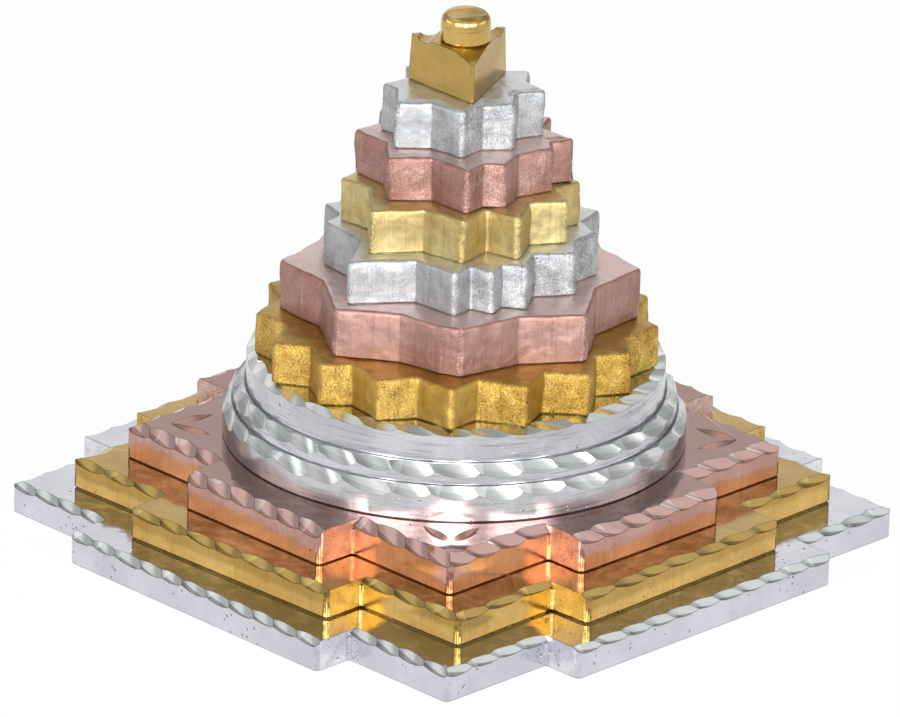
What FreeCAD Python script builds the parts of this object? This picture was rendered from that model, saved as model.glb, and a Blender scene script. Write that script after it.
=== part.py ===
import FreeCAD, Part

import math
import os

from FreeCAD import Vector

# Meru shri yantra: a stepped pyramid of polished plates and star tiers, clamped on one central rod.
# Lengths are in millimetres and angles in degrees. The origin is on the rod's axis, at the underside.
# X and Y run along the sides of the square plates.
# A turn of 0 points at the plates' front corner, between +X and -Y, and grows anticlockwise from above.

front_corner_direction = -45

# Square plates, each with a gate in the middle of every side
lower_plate_half = 45.0
lower_plate_thickness = 4.7
lower_gate_half = 25.6
lower_gate_reach = 6.3

middle_plate_half = 38.8
middle_plate_thickness = 4.4
middle_gate_half = 19.9
middle_gate_reach = 6.8
middle_plate_turn = 1.4

upper_plate_half = 33.4
upper_plate_thickness = 5.3
upper_gate_half = 13.9
upper_gate_reach = 6.5

# Upright corners and foot edges
plate_corner_radius = 0.95
foot_break = 0.2
middle_plate_foot_break = 0.3

# Ring tier, turned in one piece with three steps
step_one_radius = 33.4
step_one_height = 5.0
step_two_radius = 31.9
step_two_height = 2.75
step_three_radius = 30.1
step_three_height = 4.6
step_groove_width = 0.3
step_groove_depth = 0.3

# Star tiers: reach is the distance from the axis to the longest tip
sixteen_reach = 29.6
sixteen_thickness = 6.35
eight_petal_reach = 26.2
eight_petal_thickness = 7.45
fourteen_reach = 23.8
fourteen_thickness = 6.65
outer_ten_reach = 19.5
outer_ten_thickness = 6.65
inner_ten_reach = 16.3
inner_ten_thickness = 6.65
eight_star_reach = 12.3
eight_star_thickness = 7.1
tip_radius = 0.7
petal_tip_radius = 1.1
valley_radius = 0.45
top_edge_radius = 0.4

# Triangle tier and the drop at the summit
triangle_reach = 8.7
triangle_thickness = 6.85
triangle_tip_radius = 0.35
triangle_draft_share = 0.955
triangle_slice_drop = 1.2
triangle_slice_left = 3.8
triangle_slice_right = 6.0
triangle_scoop_radius = 1.6
triangle_scoop_depth = 0.55
triangle_scoop_setback = 2.6
bindu_radius = 3.55
bindu_height = 4.3
bindu_edge_radius = 1.5
bindu_nick_depth = 0.35
bindu_nick_radius = 5.0
bindu_nick_setback = 1.0
bindu_nick_turn = -70

# Chisel scoops along the top edges: drop is down the side, inset is across the top
lower_scoop_drop = 0.98
lower_scoop_inset = 1.3
lower_scoop_ridge = 0.28
lower_scoop_pitch = 4.65
middle_scoop_drop = 0.9
middle_scoop_inset = 1.35
middle_scoop_ridge = 0.28
middle_scoop_pitch = 5.5
upper_scoop_drop = 1.3
upper_scoop_inset = 2.0
upper_scoop_ridge = 0.28
upper_scoop_pitch = 4.4
scoop_skew = 41
ring_scoop_skew = 45
ring_scoop_ridge = 0.38
step_one_scoop_count = 32
step_one_scoop_drop = 1.8
step_one_scoop_inset = 1.2
step_two_scoop_count = 34
step_two_scoop_drop = 1.7
step_two_scoop_inset = 1.4
rim_scoop_count = 36
rim_scoop_drop = 0.8
rim_scoop_inset = 1.9
rim_scoop_ridge = 0.3
rim_scoop_skew = 55

# Leaf cuts, two in a vee at each corner of the upper plate
leaf_depth = 0.5
leaf_length = 7.0
leaf_width = 1.9
leaf_root_inset = 4.6
leaf_angle = 11

# Rod and its fastenings, in a counterbore under the lower plate
rod_radius = 2.0
rod_end_chamfer = 0.4
rod_clearance = 0.2
thread_clearance = 0.05
bindu_thread_depth = 3.1
rod_top_gap = 0.3
counterbore_clearance = 0.5
underside_recess = 0.2
nut_across_flats = 7.0
nut_thickness = 2.2
nut_sides = 6
nut_chamfer_angle = 30
lock_washer_radius = 4.0
lock_washer_thickness = 0.5
lock_washer_teeth = 10
lock_washer_tooth_depth = 0.9
lock_washer_slot_width = 0.9
flat_washer_radius = 4.5
flat_washer_thickness = 0.8

# Cutting tools run past what they cut by this much, and heights this close are taken as equal
overrun = 1.0
height_tolerance = 0.00001

# A gate reaches into its plate by this many scoop insets, and a slicing slab is this much wider than its cut
gate_root_share = 3
slab_share = 4

# Outlines of the tiers: the turn of each corner, and its distance from the axis as a share of the reach
sixteen_outline_shares = [
    (-22, 0.98), (-12, 0.88), (-1, 1.0), (7, 0.88), (20, 0.99), (29, 0.86), (40, 1.0), (52, 0.85),
    (61, 0.96), (71, 0.87), (84, 0.98), (95, 0.87), (108, 0.98), (119, 0.88), (132, 1.0), (143, 0.87),
    (155, 0.98), (167, 0.88), (179, 0.99), (190, 0.87), (203, 0.98), (214, 0.88), (226, 1.0), (237, 0.87),
    (250, 0.99), (261, 0.88), (274, 0.98), (286, 0.87), (297.5, 1.0), (306, 0.86), (318.5, 0.98), (325.5, 0.87),
]
eight_petal_outline_shares = [
    (-43, 0.98), (-21.5, 0.835), (-5, 0.935), (1.5, 0.97), (9, 0.905), (23.5, 0.83), (45.5, 0.985),
    (67.5, 0.81), (90.5, 1.0), (112, 0.85), (134, 0.98), (157, 0.83), (179, 0.99), (202, 0.84),
    (225, 0.98), (247, 0.84), (271, 0.98), (283, 0.87), (292, 0.80),
]
fourteen_outline_shares = [
    (-42, 1.0), (-21, 0.72), (-1, 0.89), (5.5, 0.76), (13.5, 0.86), (20, 0.76), (29, 0.84), (40, 0.70),
    (55.5, 0.85), (67, 0.75), (81, 0.84), (94, 0.73), (106, 0.88), (118, 0.74), (131, 0.92), (143, 0.73),
    (156, 0.90), (168, 0.73), (180, 0.88), (192, 0.73), (204, 0.90), (217, 0.74), (229, 0.92), (241, 0.73),
    (254, 0.86), (266, 0.74), (276, 0.82), (302, 0.70),
]
outer_ten_outline_shares = [
    (-41, 1.0), (-21, 0.74), (1.5, 0.91), (16.5, 0.68), (28, 0.92), (46, 0.70), (62, 0.90), (76, 0.71),
    (89, 0.89), (107, 0.72), (125, 0.93), (142, 0.71), (160, 0.92), (178, 0.70), (196, 0.93), (214, 0.71),
    (235, 0.93), (254, 0.72), (275, 0.89), (292.5, 0.72),
]
inner_ten_outline_shares = [
    (-44, 0.93), (-22, 0.705), (3, 0.945), (14, 0.79), (26.5, 0.85), (44, 0.705), (68, 0.86), (79, 0.80),
    (87, 1.0), (106, 0.73), (123, 0.93), (141, 0.72), (159, 0.95), (177, 0.71), (195, 0.95), (213, 0.72),
    (232, 0.94), (252, 0.74), (268.5, 0.955), (294, 0.735),
]
eight_star_outline_shares = [
    (-52, 1.0), (-31, 0.70), (0, 0.89), (21, 0.64), (46.5, 0.82), (71, 0.65), (87.5, 0.97), (106, 0.79),
    (129, 0.97), (154, 0.69), (179, 0.92), (202, 0.68), (225, 0.97), (247, 0.70), (268.5, 0.965), (281, 0.80),
]
triangle_outline_shares = [(9, 0.96), (135.5, 1.0), (256, 0.98)]

up = Vector(0, 0, 1)


def heading(turn):
    """The level direction at a turn."""
    angle = math.radians(front_corner_direction + turn)
    return Vector(math.cos(angle), math.sin(angle), 0)


def polar(turn, reach, height=0):
    """The point at a turn and a reach, at a height."""
    return heading(turn) * reach + up * height


def outline_points(shares, reach, height=0):
    return [polar(turn, share * reach, height) for turn, share in shares]


def turned(shape, angle):
    """A copy of a shape, turned about the rod's axis."""
    copy = shape.copy()
    copy.rotate(Vector(), up, angle)
    return copy


def lifted(shape, height):
    """A copy of a shape, raised by a height."""
    copy = shape.copy()
    copy.translate(up * height)
    return copy


def rounded_wire(points, tip, valley):
    """A closed wire through anticlockwise points, with its tips and valleys rounded."""
    starts, arcs = [], []
    for index, corner in enumerate(points):
        back = points[index - 1] - corner
        ahead = points[(index + 1) % len(points)] - corner
        outward = back.cross(ahead).z < 0
        shorter = min(back.Length, ahead.Length)
        back.normalize()
        ahead.normalize()
        half_angle = back.getAngle(ahead) / 2
        radius = min(tip if outward else valley, math.tan(half_angle) * shorter / 3)
        setback = radius / math.tan(half_angle)
        middle = (back + ahead).normalize() * (radius / math.sin(half_angle) - radius)
        starts.append(corner + back * setback)
        arcs.append(Part.Arc(corner + back * setback, corner + middle, corner + ahead * setback))
    edges = []
    for index, arc in enumerate(arcs):
        edges.append(arc.toShape())
        edges.append(Part.makeLine(arc.EndPoint, starts[(index + 1) % len(starts)]))
    return Part.Wire(edges)


def edges_at(solid, height):
    """The edges of a solid that lie at a height."""
    return [edge for edge in solid.Edges
            if all(abs(vertex.Z - height) < height_tolerance for vertex in edge.Vertexes)]


def rod_bore(thickness):
    """The tool for the hole that the rod passes through."""
    return Part.makeCylinder(rod_radius + rod_clearance, thickness + 2 * overrun, Vector(0, 0, -overrun))


def star_tier(shares, reach, thickness, tip=tip_radius):
    """A tier cut to a star or petal outline, with a rounded top edge, a broken foot and a bore for the rod."""
    outline = rounded_wire(outline_points(shares, reach), tip, valley_radius)
    tier = Part.Face(outline).extrude(up * thickness)
    tier = tier.makeFillet(top_edge_radius, edges_at(tier, thickness))
    tier = tier.makeChamfer(foot_break, edges_at(tier, 0))
    return tier.cut(rod_bore(thickness))


def scoop(edge_point, along, inward, drop, inset, ridge, spacing, skew):
    """A round tool that scoops a top edge, its axis skewed so that the ridges trail along the edge."""
    width = math.hypot(drop, inset)
    across = (inward * inset + up * drop) * (1 / width)
    outward = (up * inset - inward * drop) * (1 / width)
    depth = drop * inset / width
    angle = math.radians(skew)
    axis = across * math.cos(angle) - along * math.sin(angle)
    tool_radius = (spacing * math.cos(angle)) ** 2 / (8 * ridge)
    centre = edge_point + outward * (tool_radius - depth)
    length = 2 * (width / math.cos(angle) + overrun)
    return Part.makeCylinder(tool_radius, length, centre - axis * (length / 2), axis)


def scooped_run(body, start, end, inward, drop, inset, ridge, pitch):
    """A body with scoops along a straight top edge, from a start to an end."""
    along = end - start
    count = max(1, round(along.Length / pitch))
    spacing = along.Length / count
    along.normalize()
    for index in range(count):
        place = start + along * (spacing * (index + 0.5))
        body = body.cut(scoop(place, along, inward, drop, inset, ridge, spacing, scoop_skew))
    return body


def scooped_rim(disc, radius, height, count, drop, inset, ridge, skew):
    """A disc with scoops all round its top edge."""
    spacing = 2 * math.pi * radius / count
    tool = scoop(Vector(0, -radius, height), Vector(1, 0, 0), Vector(0, 1, 0), drop, inset, ridge, spacing, skew)
    for index in range(count):
        disc = disc.cut(turned(tool, 360 * index / count))
    return disc


def plate_block(x_length, y_length, thickness, corner, foot):
    """A block from its lowest corner, with rounded upright edges and a broken edge round its foot."""
    block = Part.makeBox(x_length, y_length, thickness, corner)
    level_edges = edges_at(block, 0) + edges_at(block, thickness)
    upright = [edge for edge in block.Edges if not any(edge.isSame(level) for level in level_edges)]
    block = block.makeFillet(plate_corner_radius, upright)
    return block.makeChamfer(foot, edges_at(block, 0))


def scooped_gate(half, gate_half, gate_reach, thickness, foot, drop, inset, ridge, pitch):
    """The gate on the -Y side: a block that stands out of the plate, scooped along its front."""
    front = -half - gate_reach
    root = gate_root_share * inset
    block = plate_block(2 * gate_half, gate_reach + root, thickness, Vector(-gate_half, front, 0), foot)
    start, end = Vector(-gate_half, front, thickness), Vector(gate_half, front, thickness)
    return scooped_run(block, start, end, Vector(0, 1, 0), drop, inset, ridge, pitch)


def gated_plate(half, thickness, gate_half, gate_reach, foot, drop, inset, ridge, pitch):
    """A square plate with a gate on each side and scoops along its top edges."""
    plate = plate_block(2 * half, 2 * half, thickness, Vector(-half, -half, 0), foot)
    for quarter in range(4):
        plate = turned(plate, 90)
        for near, far in ((-half, -gate_half), (gate_half, half)):
            start, end = Vector(near, -half, thickness), Vector(far, -half, thickness)
            plate = scooped_run(plate, start, end, Vector(0, 1, 0), drop, inset, ridge, pitch)
    gate = scooped_gate(half, gate_half, gate_reach, thickness, foot, drop, inset, ridge, pitch)
    plate = plate.multiFuse([turned(gate, 90 * quarter) for quarter in range(4)]).removeSplitter()
    return plate.cut(rod_bore(thickness))


def counterbore_depth():
    """The fastenings' stack, and the recess that keeps the nut off the table."""
    return underside_recess + nut_thickness + lock_washer_thickness + flat_washer_thickness


def base_plate_lower():
    plate = gated_plate(lower_plate_half, lower_plate_thickness, lower_gate_half, lower_gate_reach, foot_break,
                        lower_scoop_drop, lower_scoop_inset, lower_scoop_ridge, lower_scoop_pitch)
    pocket = Part.makeCylinder(flat_washer_radius + counterbore_clearance, counterbore_depth() + overrun,
                               Vector(0, 0, -overrun))
    return plate.cut(pocket)


def base_plate_middle():
    plate = gated_plate(middle_plate_half, middle_plate_thickness, middle_gate_half, middle_gate_reach,
                        middle_plate_foot_break, middle_scoop_drop, middle_scoop_inset, middle_scoop_ridge,
                        middle_scoop_pitch)
    return turned(plate, middle_plate_turn)


def leaf_tool():
    """A disc with a vee rim that cuts one leaf at the front right corner, sunk into the plate's top."""
    disc_radius = (leaf_length / 2) ** 2 / (2 * leaf_depth)
    half_height = disc_radius * (leaf_width / 2) / leaf_depth
    cone = Part.makeCone(disc_radius, 0, half_height)
    disc = cone.fuse(cone.mirror(Vector(), up))
    disc.rotate(Vector(), Vector(1, 0, 0), 90)
    disc.translate(Vector(-leaf_length / 2, 0, disc_radius - leaf_depth))
    disc.rotate(Vector(), up, leaf_angle)
    root = upper_plate_half - leaf_root_inset
    disc.translate(Vector(root, root, upper_plate_thickness))
    return disc


def base_plate_upper():
    plate = gated_plate(upper_plate_half, upper_plate_thickness, upper_gate_half, upper_gate_reach, foot_break,
                        upper_scoop_drop, upper_scoop_inset, upper_scoop_ridge, upper_scoop_pitch)
    leaf = leaf_tool()
    twin = leaf.mirror(Vector(), Vector(1, -1, 0))
    for quarter in range(4):
        plate = plate.cut(turned(leaf, 90 * quarter)).cut(turned(twin, 90 * quarter))
    return plate


def step_groove(radius, height):
    """The tool for the fine groove at the foot of a step's wall."""
    outer = Part.makeCone(radius, radius + step_groove_width, step_groove_depth + overrun,
                          Vector(0, 0, height - step_groove_depth))
    inner = Part.makeCylinder(radius, step_groove_depth + 2 * overrun, Vector(0, 0, height - step_groove_depth))
    return outer.cut(inner)


def ring_tier():
    first = step_one_height
    second = first + step_two_height
    third = second + step_three_height
    foot_disc = Part.makeCylinder(step_one_radius, first)
    foot_disc = foot_disc.makeChamfer(foot_break, edges_at(foot_disc, 0))
    lowest = scooped_rim(foot_disc, step_one_radius, first, step_one_scoop_count, step_one_scoop_drop,
                         step_one_scoop_inset, ring_scoop_ridge, ring_scoop_skew)
    middle = scooped_rim(Part.makeCylinder(step_two_radius, second), step_two_radius, second,
                         step_two_scoop_count, step_two_scoop_drop, step_two_scoop_inset, ring_scoop_ridge,
                         ring_scoop_skew)
    highest = scooped_rim(Part.makeCylinder(step_three_radius, third), step_three_radius, third,
                          rim_scoop_count, rim_scoop_drop, rim_scoop_inset, rim_scoop_ridge, rim_scoop_skew)
    middle = middle.cut(step_groove(step_three_radius, second))
    lowest = lowest.cut(step_groove(step_two_radius, first))
    ring = lowest.fuse(middle).fuse(highest).removeSplitter()
    return ring.cut(rod_bore(third))


def slice_tool(left, right, low, thickness):
    """A slab whose underside lies on three points and runs well past them."""
    points = (left, low, right)
    centre = sum(points, Vector()) * (1 / len(points))
    corners = [centre + (point - centre) * slab_share for point in points]
    normal = (corners[1] - corners[0]).cross(corners[2] - corners[0]).normalize()
    return Part.Face(Part.makePolygon(corners + corners[:1])).extrude(normal * thickness)


def triangle_tier():
    """A three-cornered tier with leaning sides, a sliced front corner and scooped back corners."""
    foot = rounded_wire(outline_points(triangle_outline_shares, triangle_reach), triangle_tip_radius, 0)
    head_points = outline_points(triangle_outline_shares, triangle_reach * triangle_draft_share, triangle_thickness)
    head = rounded_wire(head_points, triangle_tip_radius, 0)
    tier = Part.makeLoft([foot, head], True, True)
    front, right_back, left_back = head_points
    to_left = (left_back - front).normalize()
    to_right = (right_back - front).normalize()
    tier = tier.cut(slice_tool(front + to_left * triangle_slice_left, front + to_right * triangle_slice_right,
                               front - up * triangle_slice_drop, triangle_thickness))
    for turn, share in triangle_outline_shares[1:]:
        reach = share * triangle_reach * triangle_draft_share - triangle_scoop_setback
        centre = polar(turn, reach, triangle_thickness + triangle_scoop_radius - triangle_scoop_depth)
        across = heading(turn + 90)
        side = 2 * triangle_reach
        tool = Part.makeCylinder(triangle_scoop_radius, side, centre - across * (side / 2), across)
        tier = tier.cut(tool)
    return tier.cut(rod_bore(triangle_thickness))


def bindu():
    """The drop at the summit, a blind nut on the rod, with one nick on its rounded top."""
    drop = Part.makeCylinder(bindu_radius, bindu_height)
    drop = drop.makeFillet(bindu_edge_radius, edges_at(drop, bindu_height))
    drop = drop.makeChamfer(foot_break, edges_at(drop, 0))
    nick_centre = polar(0, bindu_nick_setback, bindu_height + bindu_nick_radius - bindu_nick_depth)
    across = heading(bindu_nick_turn)
    length = 4 * bindu_radius
    nick = Part.makeCylinder(bindu_nick_radius, length, nick_centre - across * (length / 2), across)
    thread = Part.makeCylinder(rod_radius + thread_clearance, bindu_thread_depth + overrun, Vector(0, 0, -overrun))
    return drop.cut(nick).cut(thread)


def through_rod(length):
    rod = Part.makeCylinder(rod_radius, length)
    ends = [edge for edge in rod.Edges if edge.isClosed()]
    return rod.makeChamfer(rod_end_chamfer, ends)


def washer(radius, thickness):
    return Part.makeCylinder(radius, thickness).cut(rod_bore(thickness))


def lock_washer():
    """A washer with teeth round its rim."""
    body = washer(lock_washer_radius, lock_washer_thickness)
    slot = Part.makeBox(lock_washer_slot_width, lock_washer_tooth_depth + overrun,
                        lock_washer_thickness + 2 * overrun,
                        Vector(-lock_washer_slot_width / 2, lock_washer_radius - lock_washer_tooth_depth, -overrun))
    for index in range(lock_washer_teeth):
        body = body.cut(turned(slot, 360 * index / lock_washer_teeth))
    return body


def hex_nut():
    """A thin nut with its lower corners chamfered."""
    flat_reach = nut_across_flats / 2
    corner_reach = flat_reach / math.cos(math.pi / nut_sides)
    corners = [turned(Part.Vertex(corner_reach, 0, 0), 360 * index / nut_sides).Point for index in range(nut_sides)]
    nut = Part.Face(Part.makePolygon(corners + corners[:1])).extrude(up * nut_thickness)
    growth = nut_thickness / math.tan(math.radians(nut_chamfer_angle))
    envelope = Part.makeCone(flat_reach, flat_reach + growth, nut_thickness)
    bore = Part.makeCylinder(rod_radius + thread_clearance, nut_thickness + 2 * overrun, Vector(0, 0, -overrun))
    return nut.common(envelope).cut(bore)


def build():
    """Every piece at its place: the tiers from the table up, then the rod and its fastenings."""
    tiers = [
        ("base_plate_lower", base_plate_lower(), lower_plate_thickness),
        ("base_plate_middle", base_plate_middle(), middle_plate_thickness),
        ("base_plate_upper", base_plate_upper(), upper_plate_thickness),
        ("ring_tier", ring_tier(), step_one_height + step_two_height + step_three_height),
        ("lotus_sixteen", star_tier(sixteen_outline_shares, sixteen_reach, sixteen_thickness), sixteen_thickness),
        ("lotus_eight", star_tier(eight_petal_outline_shares, eight_petal_reach, eight_petal_thickness,
                                  petal_tip_radius), eight_petal_thickness),
        ("star_fourteen", star_tier(fourteen_outline_shares, fourteen_reach, fourteen_thickness),
         fourteen_thickness),
        ("star_ten_outer", star_tier(outer_ten_outline_shares, outer_ten_reach, outer_ten_thickness),
         outer_ten_thickness),
        ("star_ten_inner", star_tier(inner_ten_outline_shares, inner_ten_reach, inner_ten_thickness),
         inner_ten_thickness),
        ("star_eight", star_tier(eight_star_outline_shares, eight_star_reach, eight_star_thickness),
         eight_star_thickness),
        ("triangle_tier", triangle_tier(), triangle_thickness),
        ("bindu", bindu(), bindu_height),
    ]
    pieces = {}
    level = 0
    for name, shape, thickness in tiers:
        pieces[name] = lifted(shape, level)
        level += thickness
    bindu_seat = level - bindu_height
    nut_seat = underside_recess
    lock_seat = nut_seat + nut_thickness
    flat_seat = lock_seat + lock_washer_thickness
    rod_length = bindu_seat + bindu_thread_depth - rod_top_gap - nut_seat
    pieces["hex_nut"] = lifted(hex_nut(), nut_seat)
    pieces["lock_washer"] = lifted(lock_washer(), lock_seat)
    pieces["flat_washer"] = lifted(washer(flat_washer_radius, flat_washer_thickness), flat_seat)
    pieces["through_rod"] = lifted(through_rod(rod_length), nut_seat)
    return pieces


os.makedirs("parts", exist_ok=True)
for node_name, node_shape in build().items():
    node_shape.exportStep(os.path.join("parts", node_name + ".step"))
    print(node_name, "volume", round(node_shape.Volume, 1), "valid", node_shape.isValid(),
          "solids", len(node_shape.Solids))
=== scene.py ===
import math
from types import SimpleNamespace

import bmesh
import bpy
from mathutils import Matrix, Vector
from mathutils.geometry import tessellate_polygon


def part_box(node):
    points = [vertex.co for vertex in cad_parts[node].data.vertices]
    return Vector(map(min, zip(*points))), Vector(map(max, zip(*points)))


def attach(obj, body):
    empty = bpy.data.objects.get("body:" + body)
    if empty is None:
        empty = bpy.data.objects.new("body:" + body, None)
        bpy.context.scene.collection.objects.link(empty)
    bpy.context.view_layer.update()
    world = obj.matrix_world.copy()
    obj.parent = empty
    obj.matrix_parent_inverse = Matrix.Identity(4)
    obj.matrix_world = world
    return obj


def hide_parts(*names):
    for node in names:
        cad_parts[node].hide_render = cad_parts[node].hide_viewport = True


# Meru shri yantra: polished plates and star tiers in silver, brass and copper colours, stacked on one rod.
# A turn of 0 points at the plates' front corner, between +X and -Y, and grows anticlockwise from above.

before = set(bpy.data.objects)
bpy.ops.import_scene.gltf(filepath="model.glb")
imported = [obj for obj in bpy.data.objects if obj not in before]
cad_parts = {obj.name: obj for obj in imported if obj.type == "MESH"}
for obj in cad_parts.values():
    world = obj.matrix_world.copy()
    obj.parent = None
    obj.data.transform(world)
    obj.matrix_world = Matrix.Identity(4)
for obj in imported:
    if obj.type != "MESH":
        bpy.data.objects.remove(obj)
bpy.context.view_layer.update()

mm = 0.001
front_corner_direction = -45

# Chisel scoops along the plates' top edges: drop down the side, inset across the top, pitch and ridge height
plate_scoops = {
    "base_plate_lower": dict(drop=0.98 * mm, inset=1.3 * mm, pitch=4.65 * mm, ridge=0.28 * mm),
    "base_plate_middle": dict(drop=0.9 * mm, inset=1.35 * mm, pitch=5.5 * mm, ridge=0.28 * mm),
    "base_plate_upper": dict(drop=1.3 * mm, inset=2.0 * mm, pitch=4.4 * mm, ridge=0.28 * mm),
}
scoop_seeds = {"base_plate_lower": 1, "base_plate_middle": 11, "base_plate_upper": 21, "ring_tier": 41}
scoop_skew = 41
scoop_overrun = 1.0 * mm
scoop_tool_sides = 128

# The loose hand: how far a scoop is off in turn, in degrees, and how much smaller or larger it may be
scoop_off_turn = 5
scoop_off_shares = ((-1, -0.5, -1), (1, 0.5, 1))
scoop_smaller, scoop_larger = 0.06, 0.04
scale_seed_step = 7

# Plates: half side, gate half width, gate reach and turn of each
plate_sizes = {
    "base_plate_lower": SimpleNamespace(half=45.0 * mm, gate_half=25.6 * mm, gate_reach=6.3 * mm, turn=0),
    "base_plate_middle": SimpleNamespace(half=38.8 * mm, gate_half=19.9 * mm, gate_reach=6.8 * mm, turn=1.4),
    "base_plate_upper": SimpleNamespace(half=33.4 * mm, gate_half=13.9 * mm, gate_reach=6.5 * mm, turn=0),
}
plate_corner_radius = 0.95 * mm
foot_break = 0.2 * mm
middle_plate_foot_break = 0.3 * mm
gate_root_share = 3
gate_corner_radius = 0.6 * mm
gate_corner_overlap = 0.4 * mm
gate_corner_steps = 6
gate_side_grain = 0.85
sideways_limit = 0.95

# Leaf cuts at the corners of the upper plate
leaf_depth = 0.5 * mm
leaf_length = 7.0 * mm
leaf_width = 1.9 * mm
leaf_root_inset = 4.6 * mm
leaf_angle = 11
leaf_rim_points = 240

# Ring tier: radius and top of each step, then its scoops' count, drop, inset, ridge and skew, and its grooves
ring_steps = [
    (33.4 * mm, 5.0 * mm, 32, 1.8 * mm, 1.2 * mm, 0.38 * mm, 45),
    (31.9 * mm, 7.75 * mm, 34, 1.7 * mm, 1.4 * mm, 0.38 * mm, 45),
    (30.1 * mm, 12.35 * mm, 36, 0.8 * mm, 1.9 * mm, 0.3 * mm, 55),
]
ring_groove = 0.3 * mm
ring_groove_lap = 0.1 * mm
ring_sides = 256

# How far cutters run past what they cut, and the sides of turned pieces and round holes
overrun = 1.0 * mm
turning_sides = 128
bore_sides = 48
hole_sides = 64
wide_hole_sides = 96

# Rod, fastenings and the holes for them
rod_radius = 2.0 * mm
rod_clearance = 0.2 * mm
thread_clearance = 0.05 * mm
thread_pitch = 0.7 * mm
thread_depth = 0.4 * mm
thread_steps = 8
thread_wall_share = 0.98
thread_crest_steepness = 1.3
thread_crest_softness = 0.2
rod_chamfer = 0.4 * mm
rod_sides = 32
counterbore_radius = 5.0 * mm
counterbore_depth = 3.7 * mm
nut_across_flats = 7.0 * mm
nut_sides = 6
nut_chamfer_angle = 30
nut_chamfer_reach = 4.0 * mm
nut_chamfer_lap = 0.01 * mm
washer_break = 0.08 * mm
lock_washer_radius = 4.0 * mm
lock_washer_sides = 120
lock_washer_teeth = 10
lock_washer_tooth_depth = 0.9 * mm
lock_washer_slot_width = 0.9 * mm

# Star tiers: the radius at tips, valleys and top edge, and how their outlines are divided
tip_radius = 0.7 * mm
petal_tip_radius = 1.1 * mm
valley_radius = 0.45 * mm
top_edge_radius = 0.65 * mm
edge_steps = 4
arc_step = 10
sharpest_inset_share = 0.3
tip_grain = 0.9
longest_stretch = 2.0 * mm
flat_top_share = 0.9

# Hand filing of the star tiers: how far their rims waver and sink, over what size, and from what height up
filing_waver = 0.2 * mm
filing_sink = 0.28 * mm
filing_size = 4.0 * mm
filing_from = 1.0 * mm
filing_full = 3.0 * mm
filing_levels = 2
noise_to_waver = 4
noise_to_sink = -2
sink_bias = 0.3

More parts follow.
